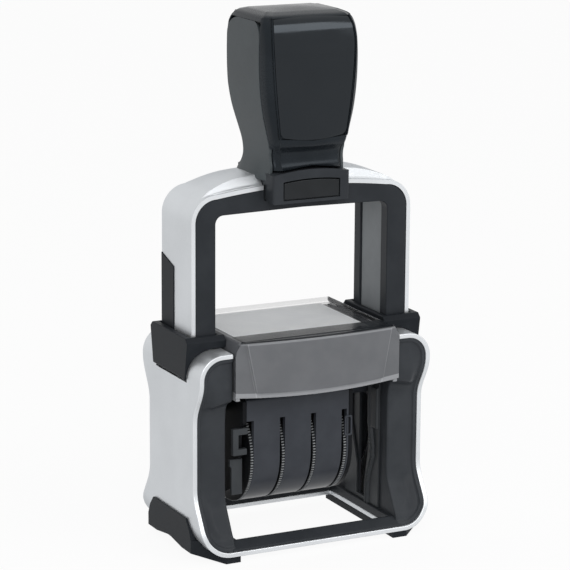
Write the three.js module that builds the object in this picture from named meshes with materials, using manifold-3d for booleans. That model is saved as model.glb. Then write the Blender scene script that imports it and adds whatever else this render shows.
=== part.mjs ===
// A self-inking date stamp: a two-column base with a window underneath, a sprung bridge with a
// hand grip, and a carriage with four date wheels that turns over as the bridge goes down.
// Millimetres. +Z is up, the front faces -Y, and the origin is on the ground under the middle.
import * as THREE from "three";
import { mergeVertices } from "three/addons/utils/BufferGeometryUtils.js";
import Module from "manifold-3d";

const wasm = await Module();
wasm.setup();

// Fits shared by all the pieces
const seatGap = 0.1;
const runGap = 0.3;
const cutOverrun = 5;
const arcSteps = 6;
const roundSides = 24;
const weldDistance = 0.0001;

// Half widths from the aperture outwards: column, leg of the bridge, silver shell
const windowHalfWidth = 22.2;
const columnLedge = 1.4;
const columnWall = 0.8;
const legWidth = 6.8;
const legSideGap = 0.5;
const shellWall = 1.25;
const columnInner = windowHalfWidth + columnLedge;
const legInner = columnInner + columnWall + runGap;
const bridgeHalf = legInner + legWidth;
const shellHalf = bridgeHalf + legSideGap + shellWall;

// Base: the silver U-shaped shell
const shellUnder = 1.9;
const shellTop = 55.0;
const shellShoulderRadius = 6.5;
const shellFootRadius = 8.0;

// Base: its waisted side view, as half depths and the heights where each stretch ends
const windowHalfDepth = 16.2;
const barDepth = 4.0;
const flareInset = 0.9;
const waistInset = 6.45;
const shoulderInset = 2.2;
const flareHeight = 5.5;
const waistLow = 19.0;
const waistHighDrop = 18.5;
const shoulderDrop = 7.0;
const blendSteps = 7;
const skirtHalfDepth = windowHalfDepth + barDepth;
const flareHalfDepth = skirtHalfDepth - flareInset;
const waistHalfDepth = skirtHalfDepth - waistInset;
const shoulderHalfDepth = skirtHalfDepth - shoulderInset;
const waistHigh = shellTop - waistHighDrop;
const shoulderLow = shellTop - shoulderDrop;

// Base: the black frame inside the shell
const columnInset = 0.4;
const barLipRise = 0.45;
const barLipInset = 0.6;
const barCrestRise = 1.7;
const columnFloorRise = 1.45;
const barLip = shellUnder + shellWall + barLipRise;
const barCrest = barLip + barCrestRise;
const barLipHalfDepth = skirtHalfDepth - barLipInset;
const columnFloor = shellUnder + shellWall + columnFloorRise;

// Feet with their side cladding
const soleWidth = 4.1;
const footInset = 1.0;
const footCorner = 5.8;
const footOuterRise = 2.2;
const proudOfShell = 0.6;
const claddingTop = 10.7;
const claddingShoulder = 8.2;
const claddingTopInset = 3.2;
const claddingMidInset = 1.0;
const soleHeight = 5.7;
const archRise = 1.1;
const archInset = 4.4;
const footInner = windowHalfWidth + seatGap;
const footFlatOuter = footInner + soleWidth;
const footHalfDepth = skirtHalfDepth - footInset;
const footSideHalfDepth = footHalfDepth - footCorner;

// Pad cover with its card
const coverSideStep = 0.7;
const coverRise = 3.0;
const coverStepDrop = 3.3;
const apronHeight = 15.5;
const coverBackInset = 1.0;
const coverWall = 1.2;
const coverRadius = 1.2;
const apronStand = 0.2;
const apronWall = 1.1;
const apronBow = 1.9;
const apronSteps = 10;
const cardWall = 0.3;
const cardFrontInset = 6.2;
const cardRightShare = 0.86;
const cardTrayHeight = 3.0;
const coverLowHalfWidth = columnInner - runGap;
const coverHalfWidth = coverLowHalfWidth - coverSideStep;
const apronHalfWidth = columnInner;
const coverInnerHalf = coverHalfWidth - coverWall;
const coverTop = shellTop + coverRise;
const coverRoof = coverTop - coverWall;
const coverStep = coverTop - coverStepDrop;
const coverBottom = coverTop - apronHeight;
const coverBackY = shoulderHalfDepth - coverBackInset;
const coverFrontY = -shoulderHalfDepth - apronStand;
const apronEndY = coverFrontY - apronWall;

// Ink cartridge, hung under the card's tray
const trayGap = 1.2;
const trayRoof = 1.6;
const padHeight = 4.0;
const padBackGap = 5.0;
const trayWall = 0.9;
const trayLip = 0.6;
const railHeight = 1.1;
const railReach = 1.0;
const gripWall = 1.6;
const gripRise = 0.7;
const cardZ = coverRoof - seatGap - cardWall;
const cardTrayTop = cardZ - seatGap;
const padHalfDepth = coverBackY - padBackGap;
const trayTop = cardTrayTop - cardTrayHeight - trayGap;
const padFace = trayTop - trayRoof - padHeight;
const railBottom = padFace + trayLip;
const gripInnerY = -apronEndY - gripWall;

// Bridge: frames, liner and silver skins
const travel = 28.0;
const bridgeHalfDepth = 9.1;
const legDepthGap = 0.6;
const legEndGap = 1.4;
const skinWall = 1.1;
const linerInset = 0.4;
const skinLegRise = 10.0;
const frameDepth = 3.5;
const grooveGap = 0.3;
const windowRise = 3.3;
const windowCrownDrop = 0.4;
const windowCornerRadius = 2.2;
const beamHeight = 5.7;
const archDrop = 1.7;
const bridgeCornerRadius = 6.0;
const humpHeight = 2.5;
const humpPastWindow = 1.8;
const humpHalfDepth = 5.2;
const humpFootHalfDepth = 7.4;
const humpShares = [0, 0.35, 0.7, 1];
const ribProud = 0.25;
const ribRecess = 0.6;
const ribFront = 1.4;
const ribTopDrop = 12.3;
const ribTopSlant = 2.4;
const shaftHalfDepth = bridgeHalfDepth + legDepthGap;
const frameHalf = bridgeHalf - skinWall - seatGap;
const linerHalfDepth = bridgeHalfDepth - frameDepth - grooveGap;
const frameLegEnd = columnFloor + travel + legEndGap;
const skinLegEnd = frameLegEnd + skinLegRise;
const windowCrown = coverTop + travel + windowRise;
const archCrown = windowCrown + beamHeight;
const archHalfSpan = legInner - runGap;
const humpFarX = legInner + humpPastWindow;
const ribTopBack = windowCrown - ribTopDrop;
const ribTopFront = ribTopBack - ribTopSlant;

// Collars on the shoulders
const collarRise = 3.4;
const collarDrop = 7.5;
const collarWall = 1.9;
const collarTaper = 1.6;
const collarChamfer = 1.2;
const collarTop = shellTop + collarRise;
const collarBottom = shellTop - collarDrop;
const collarInner = coverHalfWidth + runGap;
const collarHalfDepth = shaftHalfDepth + collarWall;
const collarFootHalfDepth = collarHalfDepth - collarTaper;

// The die: pressed to the pad at rest and nearly on the ground at the end of the stroke
const dieGap = 0.3;
const pressedGap = 0.3;
const dieFace = padFace - dieGap;
const pivotHeight = pressedGap + travel + (dieFace - pressedGap - travel) / 2;

// Neck block with its lock button
const neckHalfWidth = 10.9;
const blockStand = 4.9;
const blockBackInset = 0.5;
const blockDrop = 3.5;
const blockRise = 4.3;
const blockArch = 0.7;
const blockFootRise = 2.2;
const buttonSideInset = 3.0;
const buttonRise = 1.0;
const buttonHeight = 4.7;
const buttonDepth = 2.6;
const buttonProud = 0.2;
const buttonGap = 0.35;
const buttonTravel = 1.0;
const blockFront = -bridgeHalfDepth - blockStand;
const blockBack = bridgeHalfDepth - blockBackInset;
const blockBottom = archCrown - blockDrop;
const blockTop = archCrown + blockRise;
const buttonHalfWidth = neckHalfWidth - buttonSideInset;
const buttonBottom = blockBottom + buttonRise;
const buttonTop = buttonBottom + buttonHeight;
const pocketBack = blockFront + buttonDepth - buttonProud + 2 * buttonTravel + runGap;

// Handle: one section every few millimetres, as shares of the full height, half width and half depth
const handleSeat = 0.4;
const handleHeight = 41.3;
const handleHalfWidth = 13.7;
const handleHalfDepth = 12.9;
const handleCentreY = -2.7;
const handleChamfer = 2.1;
const handleShares = [
  [0, 0.8, 0.74],
  [0.04, 0.77, 0.7],
  [0.1, 0.765, 0.69],
  [0.15, 0.78, 0.9],
  [0.21, 0.81, 0.955],
  [0.27, 0.85, 0.97],
  [0.35, 0.9, 0.985],
  [0.45, 0.945, 0.995],
  [0.55, 0.97, 1],
  [0.65, 0.99, 1],
  [0.75, 1, 0.99],
  [0.84, 0.985, 0.94],
  [0.9, 0.95, 0.87],
  [0.94, 0.9, 0.78],
  [0.97, 0.83, 0.66],
  [1, 0.7, 0.4],
];
const sideShellWall = 1.8;
const sideShellDrop = 3.4;
const sideShellRadius = 4.0;
const bezelDepth = 5.3;
const bezelRise = 5.6;
const plateWall = 1.4;
const plateRise = 3.0;
const plateLowInset = 4.1;
const plateHighInset = 1.7;
const handleBase = blockTop + handleSeat;
const handleTop = handleBase + handleHeight;
const sideShellFront = handleCentreY - handleHalfDepth + bezelDepth;
const sideShellTop = handleTop - sideShellDrop;
const bezelLow = handleBase + bezelRise;
const plateLow = bezelLow + plateRise;
const plateLowHalfWidth = handleHalfWidth - plateLowInset;
const plateHighHalfWidth = handleHalfWidth - plateHighInset;

// Guide plates on the inner walls
const guideWall = 0.8;
const guideHalfDepth = 9.2;
const guideRise = 0.8;
const guideDrop = 13.0;
const trackFrontUpper = -3.6;
const trackBackUpper = 6.5;
const trackFrontLower = -2.6;
const trackBackLower = 5.2;
const trackKinkHigh = 20.0;
const trackKinkLow = 14.5;
const trackRise = 1.0;
const guideFace = columnInner - seatGap - guideWall;
const guideLow = columnFloor + guideRise;
const guideHigh = shellTop - guideDrop;
const trackBottom = guideLow + trackRise;

// Wheel cassette of the carriage
const wheelNames = ["day_tens", "day_units", "month", "year"];
const wheelPitch = 9.0;
const wheelDrop = 21.0;
const cassetteEnd = 1.3;
const cassetteRadius = 14.3;
const cassetteWall = 1.5;
const mouthDrop = 1.8;
const mouthHeight = 3.4;
const cassetteMouthHalfDepth = 7.6;
const slotRise = 10.5;
const slotWidth = 2.0;
const endPlateWall = 1.1;
const hookReach = 2.5;
const hookWall = 2.2;
const hookGap = 0.6;
const discWall = 1.2;
const discProud = 0.15;
const toothCount = 72;
const toothDepth = 0.45;
const drumRadius = 7.9;
const shaftRadius = 1.5;
const pinRadius = 2.0;
const pinGrip = 1.2;
const bandWall = 1.0;
const bandSideGap = 0.35;
const noseHalfDepth = 5.0;
const noseHeight = 5.15;
const noseCornerRadius = 1.6;
const figureRelief = 0.25;
const figureHeight = 4.0;
const cassetteHalfWidth = ((wheelNames.length - 1) / 2) * wheelPitch + cassetteEnd;
const hookSide = endPlateWall + seatGap + hookReach + hookGap;
const cassetteShift = cassetteHalfWidth + hookSide - guideFace;
const wheelCentreZ = dieFace - wheelDrop;
const cassetteMouth = dieFace - mouthDrop;
const cassetteShoulder = cassetteMouth - mouthHeight;
const slotTop = wheelCentreZ + slotRise;
const noseTop = dieFace - figureRelief - bandWall - runGap;
const noseBase = noseTop - noseHeight;
const pinReach = legInner + pinGrip;
const wheelXs = wheelNames.map((name, i) => cassetteShift + (i - (wheelNames.length - 1) / 2) * wheelPitch);

// Springs; a return spring fills the room in the liner beside the carriage's pin
const boreWall = 0.35;
const springGap = 0.3;
const returnSpringWire = 0.28;
const returnSpringTurns = 14;
const returnSpringDrop = 17.3;
const lockSpringRadius = 1.5;
const lockSpringWire = 0.2;
const lockSpringTurns = 2;
const curlSteps = 8;
const wireSides = 5;
const springX = (frameHalf + pinReach + runGap) / 2;
const springBore = (frameHalf - pinReach - runGap) / 2 - boreWall;
const returnSpringRadius = springBore - springGap - returnSpringWire;
const returnSpringTop = windowCrown - returnSpringDrop;

// Materials
const finishes = {
  silver: { color: 0xc9cccf, roughness: 0.35, metalness: 0.45 },
  black: { color: 0x24272a, roughness: 0.5, metalness: 0 },
  grip: { color: 0x3a3e40, roughness: 0.75, metalness: 0 },
  gloss: { color: 0x0b0c0e, roughness: 0.12, metalness: 0 },
  clear: { color: 0x7b7b7e, roughness: 0.2, metalness: 0 },
  card: { color: 0xc4c4c4, roughness: 0.8, metalness: 0 },
  felt: { color: 0x15151c, roughness: 1, metalness: 0 },
  rubber: { color: 0x1c1c1e, roughness: 0.85, metalness: 0 },
  steel: { color: 0xb5b8bb, roughness: 0.3, metalness: 1 },
};

const stamp = new THREE.Group();

// A closed mesh as a solid: only the positions are kept, and shared corners are merged.
function solidOf(geometry) {
  const bare = geometry.clone();
  bare.deleteAttribute("normal");
  bare.deleteAttribute("uv");
  const merged = mergeVertices(bare, weldDistance);
  const mesh = new wasm.Mesh({
    numProp: 3,
    vertProperties: new Float32Array(merged.attributes.position.array),
    triVerts: new Uint32Array(merged.index.array),
  });
  return new wasm.Manifold(mesh);
}

function geometryOf(solid) {
  const mesh = solid.getMesh();
  const geometry = new THREE.BufferGeometry();
  geometry.setAttribute("position", new THREE.BufferAttribute(new Float32Array(mesh.vertProperties), 3));
  geometry.setIndex(new THREE.BufferAttribute(new Uint32Array(mesh.triVerts), 1));
  return geometry;
}

function place(name, solid, finish) {
  const material = new THREE.MeshStandardMaterial(finishes[finish]);
  const mesh = new THREE.Mesh(geometryOf(solid), material);
  mesh.name = name;
  stamp.add(mesh);
}

// A polygon with rounded corners from [x, y, radius] rows; a row without a radius stays sharp.
function outline(rows) {
  const points = [];
  rows.forEach((row, i) => {
    const here = new THREE.Vector2(row[0], row[1]);
    const radius = row[2] ?? 0;
    if (radius === 0) {
      points.push(here);
      return;
    }
    const before = rows[(i + rows.length - 1) % rows.length];
    const after = rows[(i + 1) % rows.length];
    const back = new THREE.Vector2(before[0], before[1]).sub(here).normalize();
    const on = new THREE.Vector2(after[0], after[1]).sub(here).normalize();
    const half = Math.acos(THREE.MathUtils.clamp(back.dot(on), -1, 1)) / 2;
    const centre = back.clone().add(on).normalize().multiplyScalar(radius / Math.sin(half)).add(here);
    const start = back.clone().multiplyScalar(radius / Math.tan(half)).add(here).sub(centre);
    const end = on.clone().multiplyScalar(radius / Math.tan(half)).add(here).sub(centre);
    let sweep = end.angle() - start.angle();
    if (sweep > Math.PI) sweep -= 2 * Math.PI;
    if (sweep < -Math.PI) sweep += 2 * Math.PI;
    for (let k = 0; k <= arcSteps; k += 1) {
      points.push(start.clone().rotateAround(new THREE.Vector2(), (sweep * k) / arcSteps).add(centre));
    }
  });
  return points;
}

function extrusion(points, depth) {
  return new THREE.ExtrudeGeometry(new THREE.Shape(points), { depth, bevelEnabled: false });
}

// Outline in the front view, (x, z), from y0 to y1
function frontPrism(points, y0, y1) {
  const geometry = extrusion(points, y1 - y0);
  geometry.rotateX(Math.PI / 2);
  geometry.translate(0, y1, 0);
  return solidOf(geometry);
}

// Outline in the side view, (y, z), from x0 to x1
function sidePrism(points, x0, x1) {
  const geometry = extrusion(points, x1 - x0);
  const turn = new THREE.Matrix4().makeBasis(
    new THREE.Vector3(0, 1, 0),
    new THREE.Vector3(0, 0, 1),
    new THREE.Vector3(1, 0, 0),
  );
  geometry.applyMatrix4(turn);
  geometry.translate(x0, 0, 0);
  return solidOf(geometry);
}

// Outline in the plan, (x, y), from z0 to z1
function planPrism(points, z0, z1) {
  const geometry = extrusion(points, z1 - z0);
  geometry.translate(0, 0, z0);
  return solidOf(geometry);
}

function block(x0, x1, y0, y1, z0, z1) {
  const geometry = new THREE.BoxGeometry(x1 - x0, y1 - y0, z1 - z0);
  geometry.translate((x0 + x1) / 2, (y0 + y1) / 2, (z0 + z1) / 2);
  return solidOf(geometry);
}

// A cylinder along X
function rod(radius, x0, x1, y, z) {
  const geometry = new THREE.CylinderGeometry(radius, radius, x1 - x0, roundSides);
  geometry.rotateZ(Math.PI / 2);
  geometry.translate((x0 + x1) / 2, y, z);
  return solidOf(geometry);
}

// A solid through rings of equally many points, closed at both ends by fans round the middle
function loft(rings) {
  const count = rings[0].length;
  const positions = [];
  rings.forEach((ring) => ring.forEach((p) => positions.push(p.x, p.y, p.z)));
  const caps = [rings[0], rings[rings.length - 1]].map((ring) => {
    const middle = ring.reduce((sum, p) => sum.add(p), new THREE.Vector3()).divideScalar(count);
    positions.push(middle.x, middle.y, middle.z);
    return positions.length / 3 - 1;
  });
  const index = [];
  for (let r = 0; r + 1 < rings.length; r += 1) {
    for (let k = 0; k < count; k += 1) {
      const a = r * count + k;
      const b = r * count + ((k + 1) % count);
      index.push(a, b, b + count, a, b + count, a + count);
    }
  }
  const top = (rings.length - 1) * count;
  for (let k = 0; k < count; k += 1) {
    const next = (k + 1) % count;
    index.push(caps[0], next, k, caps[1], top + k, top + next);
  }
  const geometry = new THREE.BufferGeometry();
  geometry.setAttribute("position", new THREE.BufferAttribute(new Float32Array(positions), 3));
  geometry.setIndex(index);
  return solidOf(geometry);
}

function mirrored(points) {
  return points.map(([a, b]) => [-a, b]).reverse();
}

function vectors(points) {
  return points.map(([a, b]) => new THREE.Vector2(a, b));
}

// A piece made for the right side, placed on both sides of the middle
function placePair(name, solid, finish) {
  place(`${name}_right`, solid, finish);
  place(`${name}_left`, solid.mirror([1, 0, 0]), finish);
}

// The base

// The shell's front view, drawn in by some distance
function shellFace(inset) {
  const half = shellHalf - inset;
  const low = shellUnder + inset;
  const high = shellTop - inset;
  return outline([
    [-half, low, shellFootRadius - inset],
    [half, low, shellFootRadius - inset],
    [half, high, shellShoulderRadius - inset],
    [-half, high, shellShoulderRadius - inset],
  ]);
}

function blend(from, to, share) {
  return from + ((to - from) * (1 - Math.cos(Math.PI * share))) / 2;
}

// The waisted side view, drawn in by some distance
function waistFace(inset) {
  const right = [
    [skirtHalfDepth - inset, shellUnder - seatGap],
    [flareHalfDepth - inset, flareHeight],
  ];
  for (let k = 1; k <= blendSteps; k += 1) {
    const share = k / blendSteps;
    const y = blend(flareHalfDepth, waistHalfDepth, share) - inset;
    right.push([y, flareHeight + (waistLow - flareHeight) * share]);
  }
  for (let k = 0; k <= blendSteps; k += 1) {
    const share = k / blendSteps;
    const y = blend(waistHalfDepth, shoulderHalfDepth, share) - inset;
    right.push([y, waistHigh + (shoulderLow - waistHigh) * share]);
  }
  right.push([shoulderHalfDepth - inset, shellTop + cutOverrun]);
  return vectors([...right, ...mirrored(right)]);
}

const legShaft = {
  x0: columnInner + columnWall,
  x1: shellHalf - shellWall,
};

function makeBaseShell() {
  const window = block(
    -windowHalfWidth, windowHalfWidth,
    -windowHalfDepth, windowHalfDepth,
    shellUnder - cutOverrun, columnFloor,
  );
  const gap = block(
    -columnInner - runGap, columnInner + runGap,
    -skirtHalfDepth - cutOverrun, skirtHalfDepth + cutOverrun,
    shoulderLow, shellTop + cutOverrun,
  );
  const legHole = block(
    legShaft.x0, legShaft.x1,
    -shaftHalfDepth, shaftHalfDepth,
    shoulderLow, shellTop + cutOverrun,
  );
  const depth = skirtHalfDepth + cutOverrun;
  const solid = frontPrism(shellFace(0), -depth, depth)
    .subtract(frontPrism(shellFace(shellWall), -depth, depth))
    .intersect(sidePrism(waistFace(0), -shellHalf - cutOverrun, shellHalf + cutOverrun))
    .subtract(window)
    .subtract(gap)
    .subtract(legHole)
    .subtract(legHole.mirror([1, 0, 0]));
  place("base_shell", solid, "silver");
}

function makeBaseFrame() {
  const depth = skirtHalfDepth + cutOverrun;
  const crest = vectors([
    [-depth, barLip],
    [-barLipHalfDepth, barLip],
    [-windowHalfDepth, barCrest],
    [windowHalfDepth, barCrest],
    [barLipHalfDepth, barLip],
    [depth, barLip],
    [depth, shellTop + cutOverrun],
    [-depth, shellTop + cutOverrun],
  ]);
  const middle = sidePrism(crest, -columnInner, columnInner);
  const window = block(
    -windowHalfWidth, windowHalfWidth,
    -windowHalfDepth, windowHalfDepth,
    shellUnder, barCrest + cutOverrun,
  );
  const shaft = block(
    legShaft.x0, shellHalf,
    -shaftHalfDepth, shaftHalfDepth,
    columnFloor, shellTop + cutOverrun,
  );
  const pinSlot = block(
    columnInner - cutOverrun, legShaft.x0 + seatGap,
    -pinRadius - 2 * runGap, pinRadius + 2 * runGap,
    pivotHeight - travel - pinRadius - 2 * runGap, pivotHeight + pinRadius + 2 * runGap,
  );
  const hollow = shaft.add(pinSlot);
  const solid = frontPrism(shellFace(shellWall + seatGap), -depth, depth)
    .intersect(sidePrism(waistFace(columnInset), -shellHalf - cutOverrun, shellHalf + cutOverrun))
    .subtract(middle)
    .subtract(window)
    .subtract(hollow)
    .subtract(hollow.mirror([1, 0, 0]));
  place("base_frame", solid, "black");
}

function makeFeet() {
  const outer = shellHalf + proudOfShell;
  const face = vectors([
    [footInner, 0],
    [footFlatOuter, 0],
    [outer, footOuterRise],
    [outer, claddingTop],
    [footInner, claddingTop],
  ]);
  const plan = vectors([
    [footInner, -footHalfDepth],
    [footFlatOuter, -footHalfDepth],
    [outer + seatGap, -footSideHalfDepth],
    [outer + seatGap, footSideHalfDepth],
    [footFlatOuter, footHalfDepth],
    [footInner, footHalfDepth],
  ]);
  const right = [
    [footHalfDepth + seatGap, -seatGap],
    [footHalfDepth + seatGap, soleHeight],
    [footSideHalfDepth, soleHeight],
    [footSideHalfDepth - claddingMidInset, claddingShoulder],
    [footSideHalfDepth - claddingTopInset, claddingTop + seatGap],
  ];
  const side = vectors([...right, ...mirrored(right)]);
  const archHalfDepth = footSideHalfDepth - archInset;
  const arch = vectors([
    [-archHalfDepth, 0],
    [archHalfDepth, 0],
    [archHalfDepth - archRise, footOuterRise],
    [0, footOuterRise + archRise],
    [archRise - archHalfDepth, footOuterRise],
  ]);
  const depth = footHalfDepth + cutOverrun;
  const solid = frontPrism(face, -depth, depth)
    .intersect(planPrism(plan, -cutOverrun, claddingTop + cutOverrun))
    .intersect(sidePrism(side, 0, outer + cutOverrun))
    .subtract(frontPrism(shellFace(-seatGap), -depth, depth))
    .subtract(sidePrism(arch, shellHalf - shellWall, outer + cutOverrun));
  placePair("foot", solid, "black");
}

function makeCollars() {
  const outer = shellHalf + proudOfShell;
  const side = outline([
    [-collarFootHalfDepth, collarBottom],
    [collarFootHalfDepth, collarBottom],
    [collarHalfDepth, collarTop - collarChamfer],
    [collarHalfDepth - collarChamfer, collarTop],
    [collarChamfer - collarHalfDepth, collarTop],
    [-collarHalfDepth, collarTop - collarChamfer],
  ]);
  const depth = skirtHalfDepth + cutOverrun;
  const hole = block(
    legShaft.x0, bridgeHalf + ribProud + runGap,
    -shaftHalfDepth, shaftHalfDepth,
    collarBottom - cutOverrun, collarTop + cutOverrun,
  );
  const solid = sidePrism(side, collarInner, outer)
    .subtract(frontPrism(shellFace(-seatGap), -depth, depth))
    .subtract(hole);
  placePair("collar", solid, "black");
}

// The guide plate has the cam track in which the carriage's pin runs
function makeGuidePlates() {
  const high = guideHigh + cutOverrun;
  const track = vectors([
    [trackFrontLower, trackBottom],
    [trackBackLower, trackBottom],
    [trackBackLower, trackKinkLow],
    [trackBackUpper, trackKinkHigh],
    [trackBackUpper, high],
    [trackFrontUpper, high],
    [trackFrontUpper, trackKinkHigh],
    [trackFrontLower, trackKinkLow],
  ]);
  const solid = block(guideFace, guideFace + guideWall, -guideHalfDepth, guideHalfDepth, guideLow, guideHigh)
    .subtract(sidePrism(track, guideFace - cutOverrun, guideFace + cutOverrun));
  placePair("guide_plate", solid, "black");
}

// The pad cover, its card and the tray under the card

// The bowed plan of the front apron, and of the cartridge's grip behind
function bowedPlan(halfWidth, innerY, endY, bow) {
  const points = [[halfWidth, innerY], [-halfWidth, innerY]];
  for (let k = 0; k <= apronSteps; k += 1) {
    const share = (2 * k) / apronSteps - 1;
    points.push([share * halfWidth, endY - bow * (1 - share * share)]);
  }
  return vectors(points.reverse());
}

function makePadCover() {
  const hat = outline([
    [-coverLowHalfWidth, coverBottom],
    [coverLowHalfWidth, coverBottom],
    [coverLowHalfWidth, coverStep],
    [coverHalfWidth, coverStep],
    [coverHalfWidth, coverTop, coverRadius],
    [-coverHalfWidth, coverTop, coverRadius],
    [-coverHalfWidth, coverStep],
    [-coverLowHalfWidth, coverStep],
  ]);
  const apron = planPrism(
    bowedPlan(apronHalfWidth, coverFrontY + seatGap, apronEndY, apronBow),
    coverBottom, coverTop,
  ).intersect(frontPrism(
    outline([
      [-apronHalfWidth, coverBottom - seatGap],
      [apronHalfWidth, coverBottom - seatGap],
      [apronHalfWidth, coverStep],
      [coverHalfWidth, coverTop, coverRadius],
      [-coverHalfWidth, coverTop, coverRadius],
      [-apronHalfWidth, coverStep],
    ]),
    apronEndY - apronBow - cutOverrun, coverFrontY + cutOverrun,
  ));
  const inside = block(
    -coverInnerHalf, coverInnerHalf,
    coverFrontY + coverWall, coverBackY + cutOverrun,
    coverBottom - cutOverrun, coverRoof,
  );
  const rail = block(
    coverInnerHalf - railReach, coverInnerHalf + seatGap,
    coverFrontY + coverWall, coverBackY,
    railBottom, railBottom + railHeight,
  );
  const solid = frontPrism(hat, coverFrontY, coverBackY)
    .add(apron)
    .subtract(inside)
    .add(rail)
    .add(rail.mirror([1, 0, 0]));
  place("pad_cover", solid, "clear");
}

function makeCardAndTray() {
  const half = coverInnerHalf - runGap;
  const right = half * cardRightShare;
  const back = coverBackY - coverWall;
  const card = block(-half, right, coverFrontY + cardFrontInset, back, cardZ, cardZ + cardWall);
  place("index_card", card, "card");
  const front = coverFrontY + coverWall + runGap;
  const low = cardTrayTop - cardTrayHeight;
  const tray = block(-half, half, front, back, low, cardTrayTop);
  place("card_tray", tray, "black");
}

// The ink cartridge

function makeCartridge() {
  const halfDepth = padHalfDepth + trayWall;
  const low = railBottom + railHeight + seatGap;
  const inner = coverInnerHalf - railReach - runGap;
  const trayFlange = coverInnerHalf - runGap;
  const padHalfWidth = inner - trayWall;
  const body = block(-inner, inner, -halfDepth, halfDepth, padFace + trayLip, trayTop)
    .add(block(-trayFlange, trayFlange, -halfDepth, halfDepth, low + seatGap, trayTop));
  const recess = block(
    -padHalfWidth, padHalfWidth,
    -padHalfDepth, padHalfDepth,
    padFace - cutOverrun, padFace + padHeight,
  );
  const neck = block(-inner, inner, halfDepth - seatGap, gripInnerY, padFace + padHeight, trayTop);
  place("ink_tray", body.subtract(recess).add(neck), "black");
  const pad = block(
    seatGap - padHalfWidth, padHalfWidth - seatGap,
    seatGap - padHalfDepth, padHalfDepth - seatGap,
    padFace, padFace + padHeight - seatGap,
  );
  place("ink_pad", pad, "felt");
  const plan = bowedPlan(coverLowHalfWidth, -gripInnerY - seatGap, apronEndY, apronBow);
  const grip = planPrism(plan, coverBottom, trayTop + gripRise).mirror([0, 1, 0]);
  place("cartridge_grip", grip, "black");
}

// The bridge

// A circle's arch through a crown and a drop at the half span: height at x
function archHeight(crown, drop, halfSpan, x) {
  const radius = (halfSpan * halfSpan + drop * drop) / (2 * drop);
  return crown - radius + Math.sqrt(radius * radius - x * x);
}

// The arched front view of the bridge, offset outwards by some distance, down to some height
function bridgeFace(half, offset, low) {
  const radius = bridgeCornerRadius + offset;
  const centreX = half - radius;
  const right = [[half, low]];
  const startZ = archHeight(archCrown, archDrop, archHalfSpan, centreX) + offset;
  for (let k = 0; k <= arcSteps; k += 1) {
    const angle = (Math.PI / 2) * (k / arcSteps);
    right.push([centreX + radius * Math.cos(angle), startZ - radius + radius * Math.sin(angle)]);
  }
  for (let k = 1; k < arcSteps; k += 1) {
    const x = centreX * (1 - k / arcSteps);
    right.push([x, archHeight(archCrown, archDrop, archHalfSpan, x) + offset]);
  }
  return vectors([...right, [0, archCrown + offset], ...mirrored(right)]);
}

// The opening between the legs
function bridgeOpening(half, crown, low) {
  const side = crown - windowCrownDrop;
  return outline([
    [-half, low],
    [half, low],
    [half, side, windowCornerRadius],
    [0, crown],
    [-half, side, windowCornerRadius],
  ]);
}

function makeBridgeFrames() {
  const opening = frontPrism(
    bridgeOpening(legInner, windowCrown, frameLegEnd - cutOverrun),
    -bridgeHalfDepth - cutOverrun, bridgeHalfDepth + cutOverrun,
  );
  const front = frontPrism(
    bridgeFace(frameHalf, -seatGap, frameLegEnd),
    -bridgeHalfDepth, frameDepth - bridgeHalfDepth,
  ).subtract(opening);
  place("bridge_front_frame", front, "black");
  place("bridge_rear_frame", front.mirror([0, 1, 0]), "black");
}

function makeBridgeLiner() {
  const opening = frontPrism(
    bridgeOpening(legInner + linerInset, windowCrown + linerInset, frameLegEnd - cutOverrun),
    -bridgeHalfDepth, bridgeHalfDepth,
  );
  const pinHole = rod(
    pinRadius + runGap,
    legInner - cutOverrun, pinReach + runGap,
    0, pivotHeight,
  );
  const bore = uprightRod(springBore, springX, 0, frameLegEnd - cutOverrun, returnSpringTop + runGap);
  const hollow = pinHole.add(bore);
  const face = bridgeFace(frameHalf, -seatGap, frameLegEnd);
  const solid = frontPrism(face, -linerHalfDepth, linerHalfDepth)
    .subtract(opening)
    .subtract(hollow)
    .subtract(hollow.mirror([1, 0, 0]));
  place("bridge_liner", solid, "black");
}

function uprightRod(radius, x, y, z0, z1) {
  const geometry = new THREE.CylinderGeometry(radius, radius, z1 - z0, roundSides);
  geometry.rotateX(Math.PI / 2);
  geometry.translate(x, y, (z0 + z1) / 2);
  return solidOf(geometry);
}

// The raised middle of the skin, highest beside the neck
function makeHump() {
  const rings = humpShares.map((share) => {
    const x = neckHalfWidth + (humpFarX - neckHalfWidth) * share;
    const ground = archHeight(archCrown, archDrop, archHalfSpan, x) + skinWall;
    const high = ground + humpHeight * (1 - share);
    const low = ground - skinWall / 2;
    const shrink = 1 - share / 2;
    return [
      new THREE.Vector3(x, -humpFootHalfDepth * shrink, low),
      new THREE.Vector3(x, humpFootHalfDepth * shrink, low),
      new THREE.Vector3(x, humpHalfDepth * shrink, high),
      new THREE.Vector3(x, -humpHalfDepth * shrink, high),
    ];
  });
  return loft(rings);
}

function ribFace(grow) {
  return vectors([
    [ribFront - grow, skinLegEnd - cutOverrun * Math.sign(grow)],
    [bridgeHalfDepth + grow, skinLegEnd - cutOverrun * Math.sign(grow)],
    [bridgeHalfDepth + grow, ribTopBack + grow],
    [ribFront - grow, ribTopFront + grow],
  ]);
}

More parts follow.
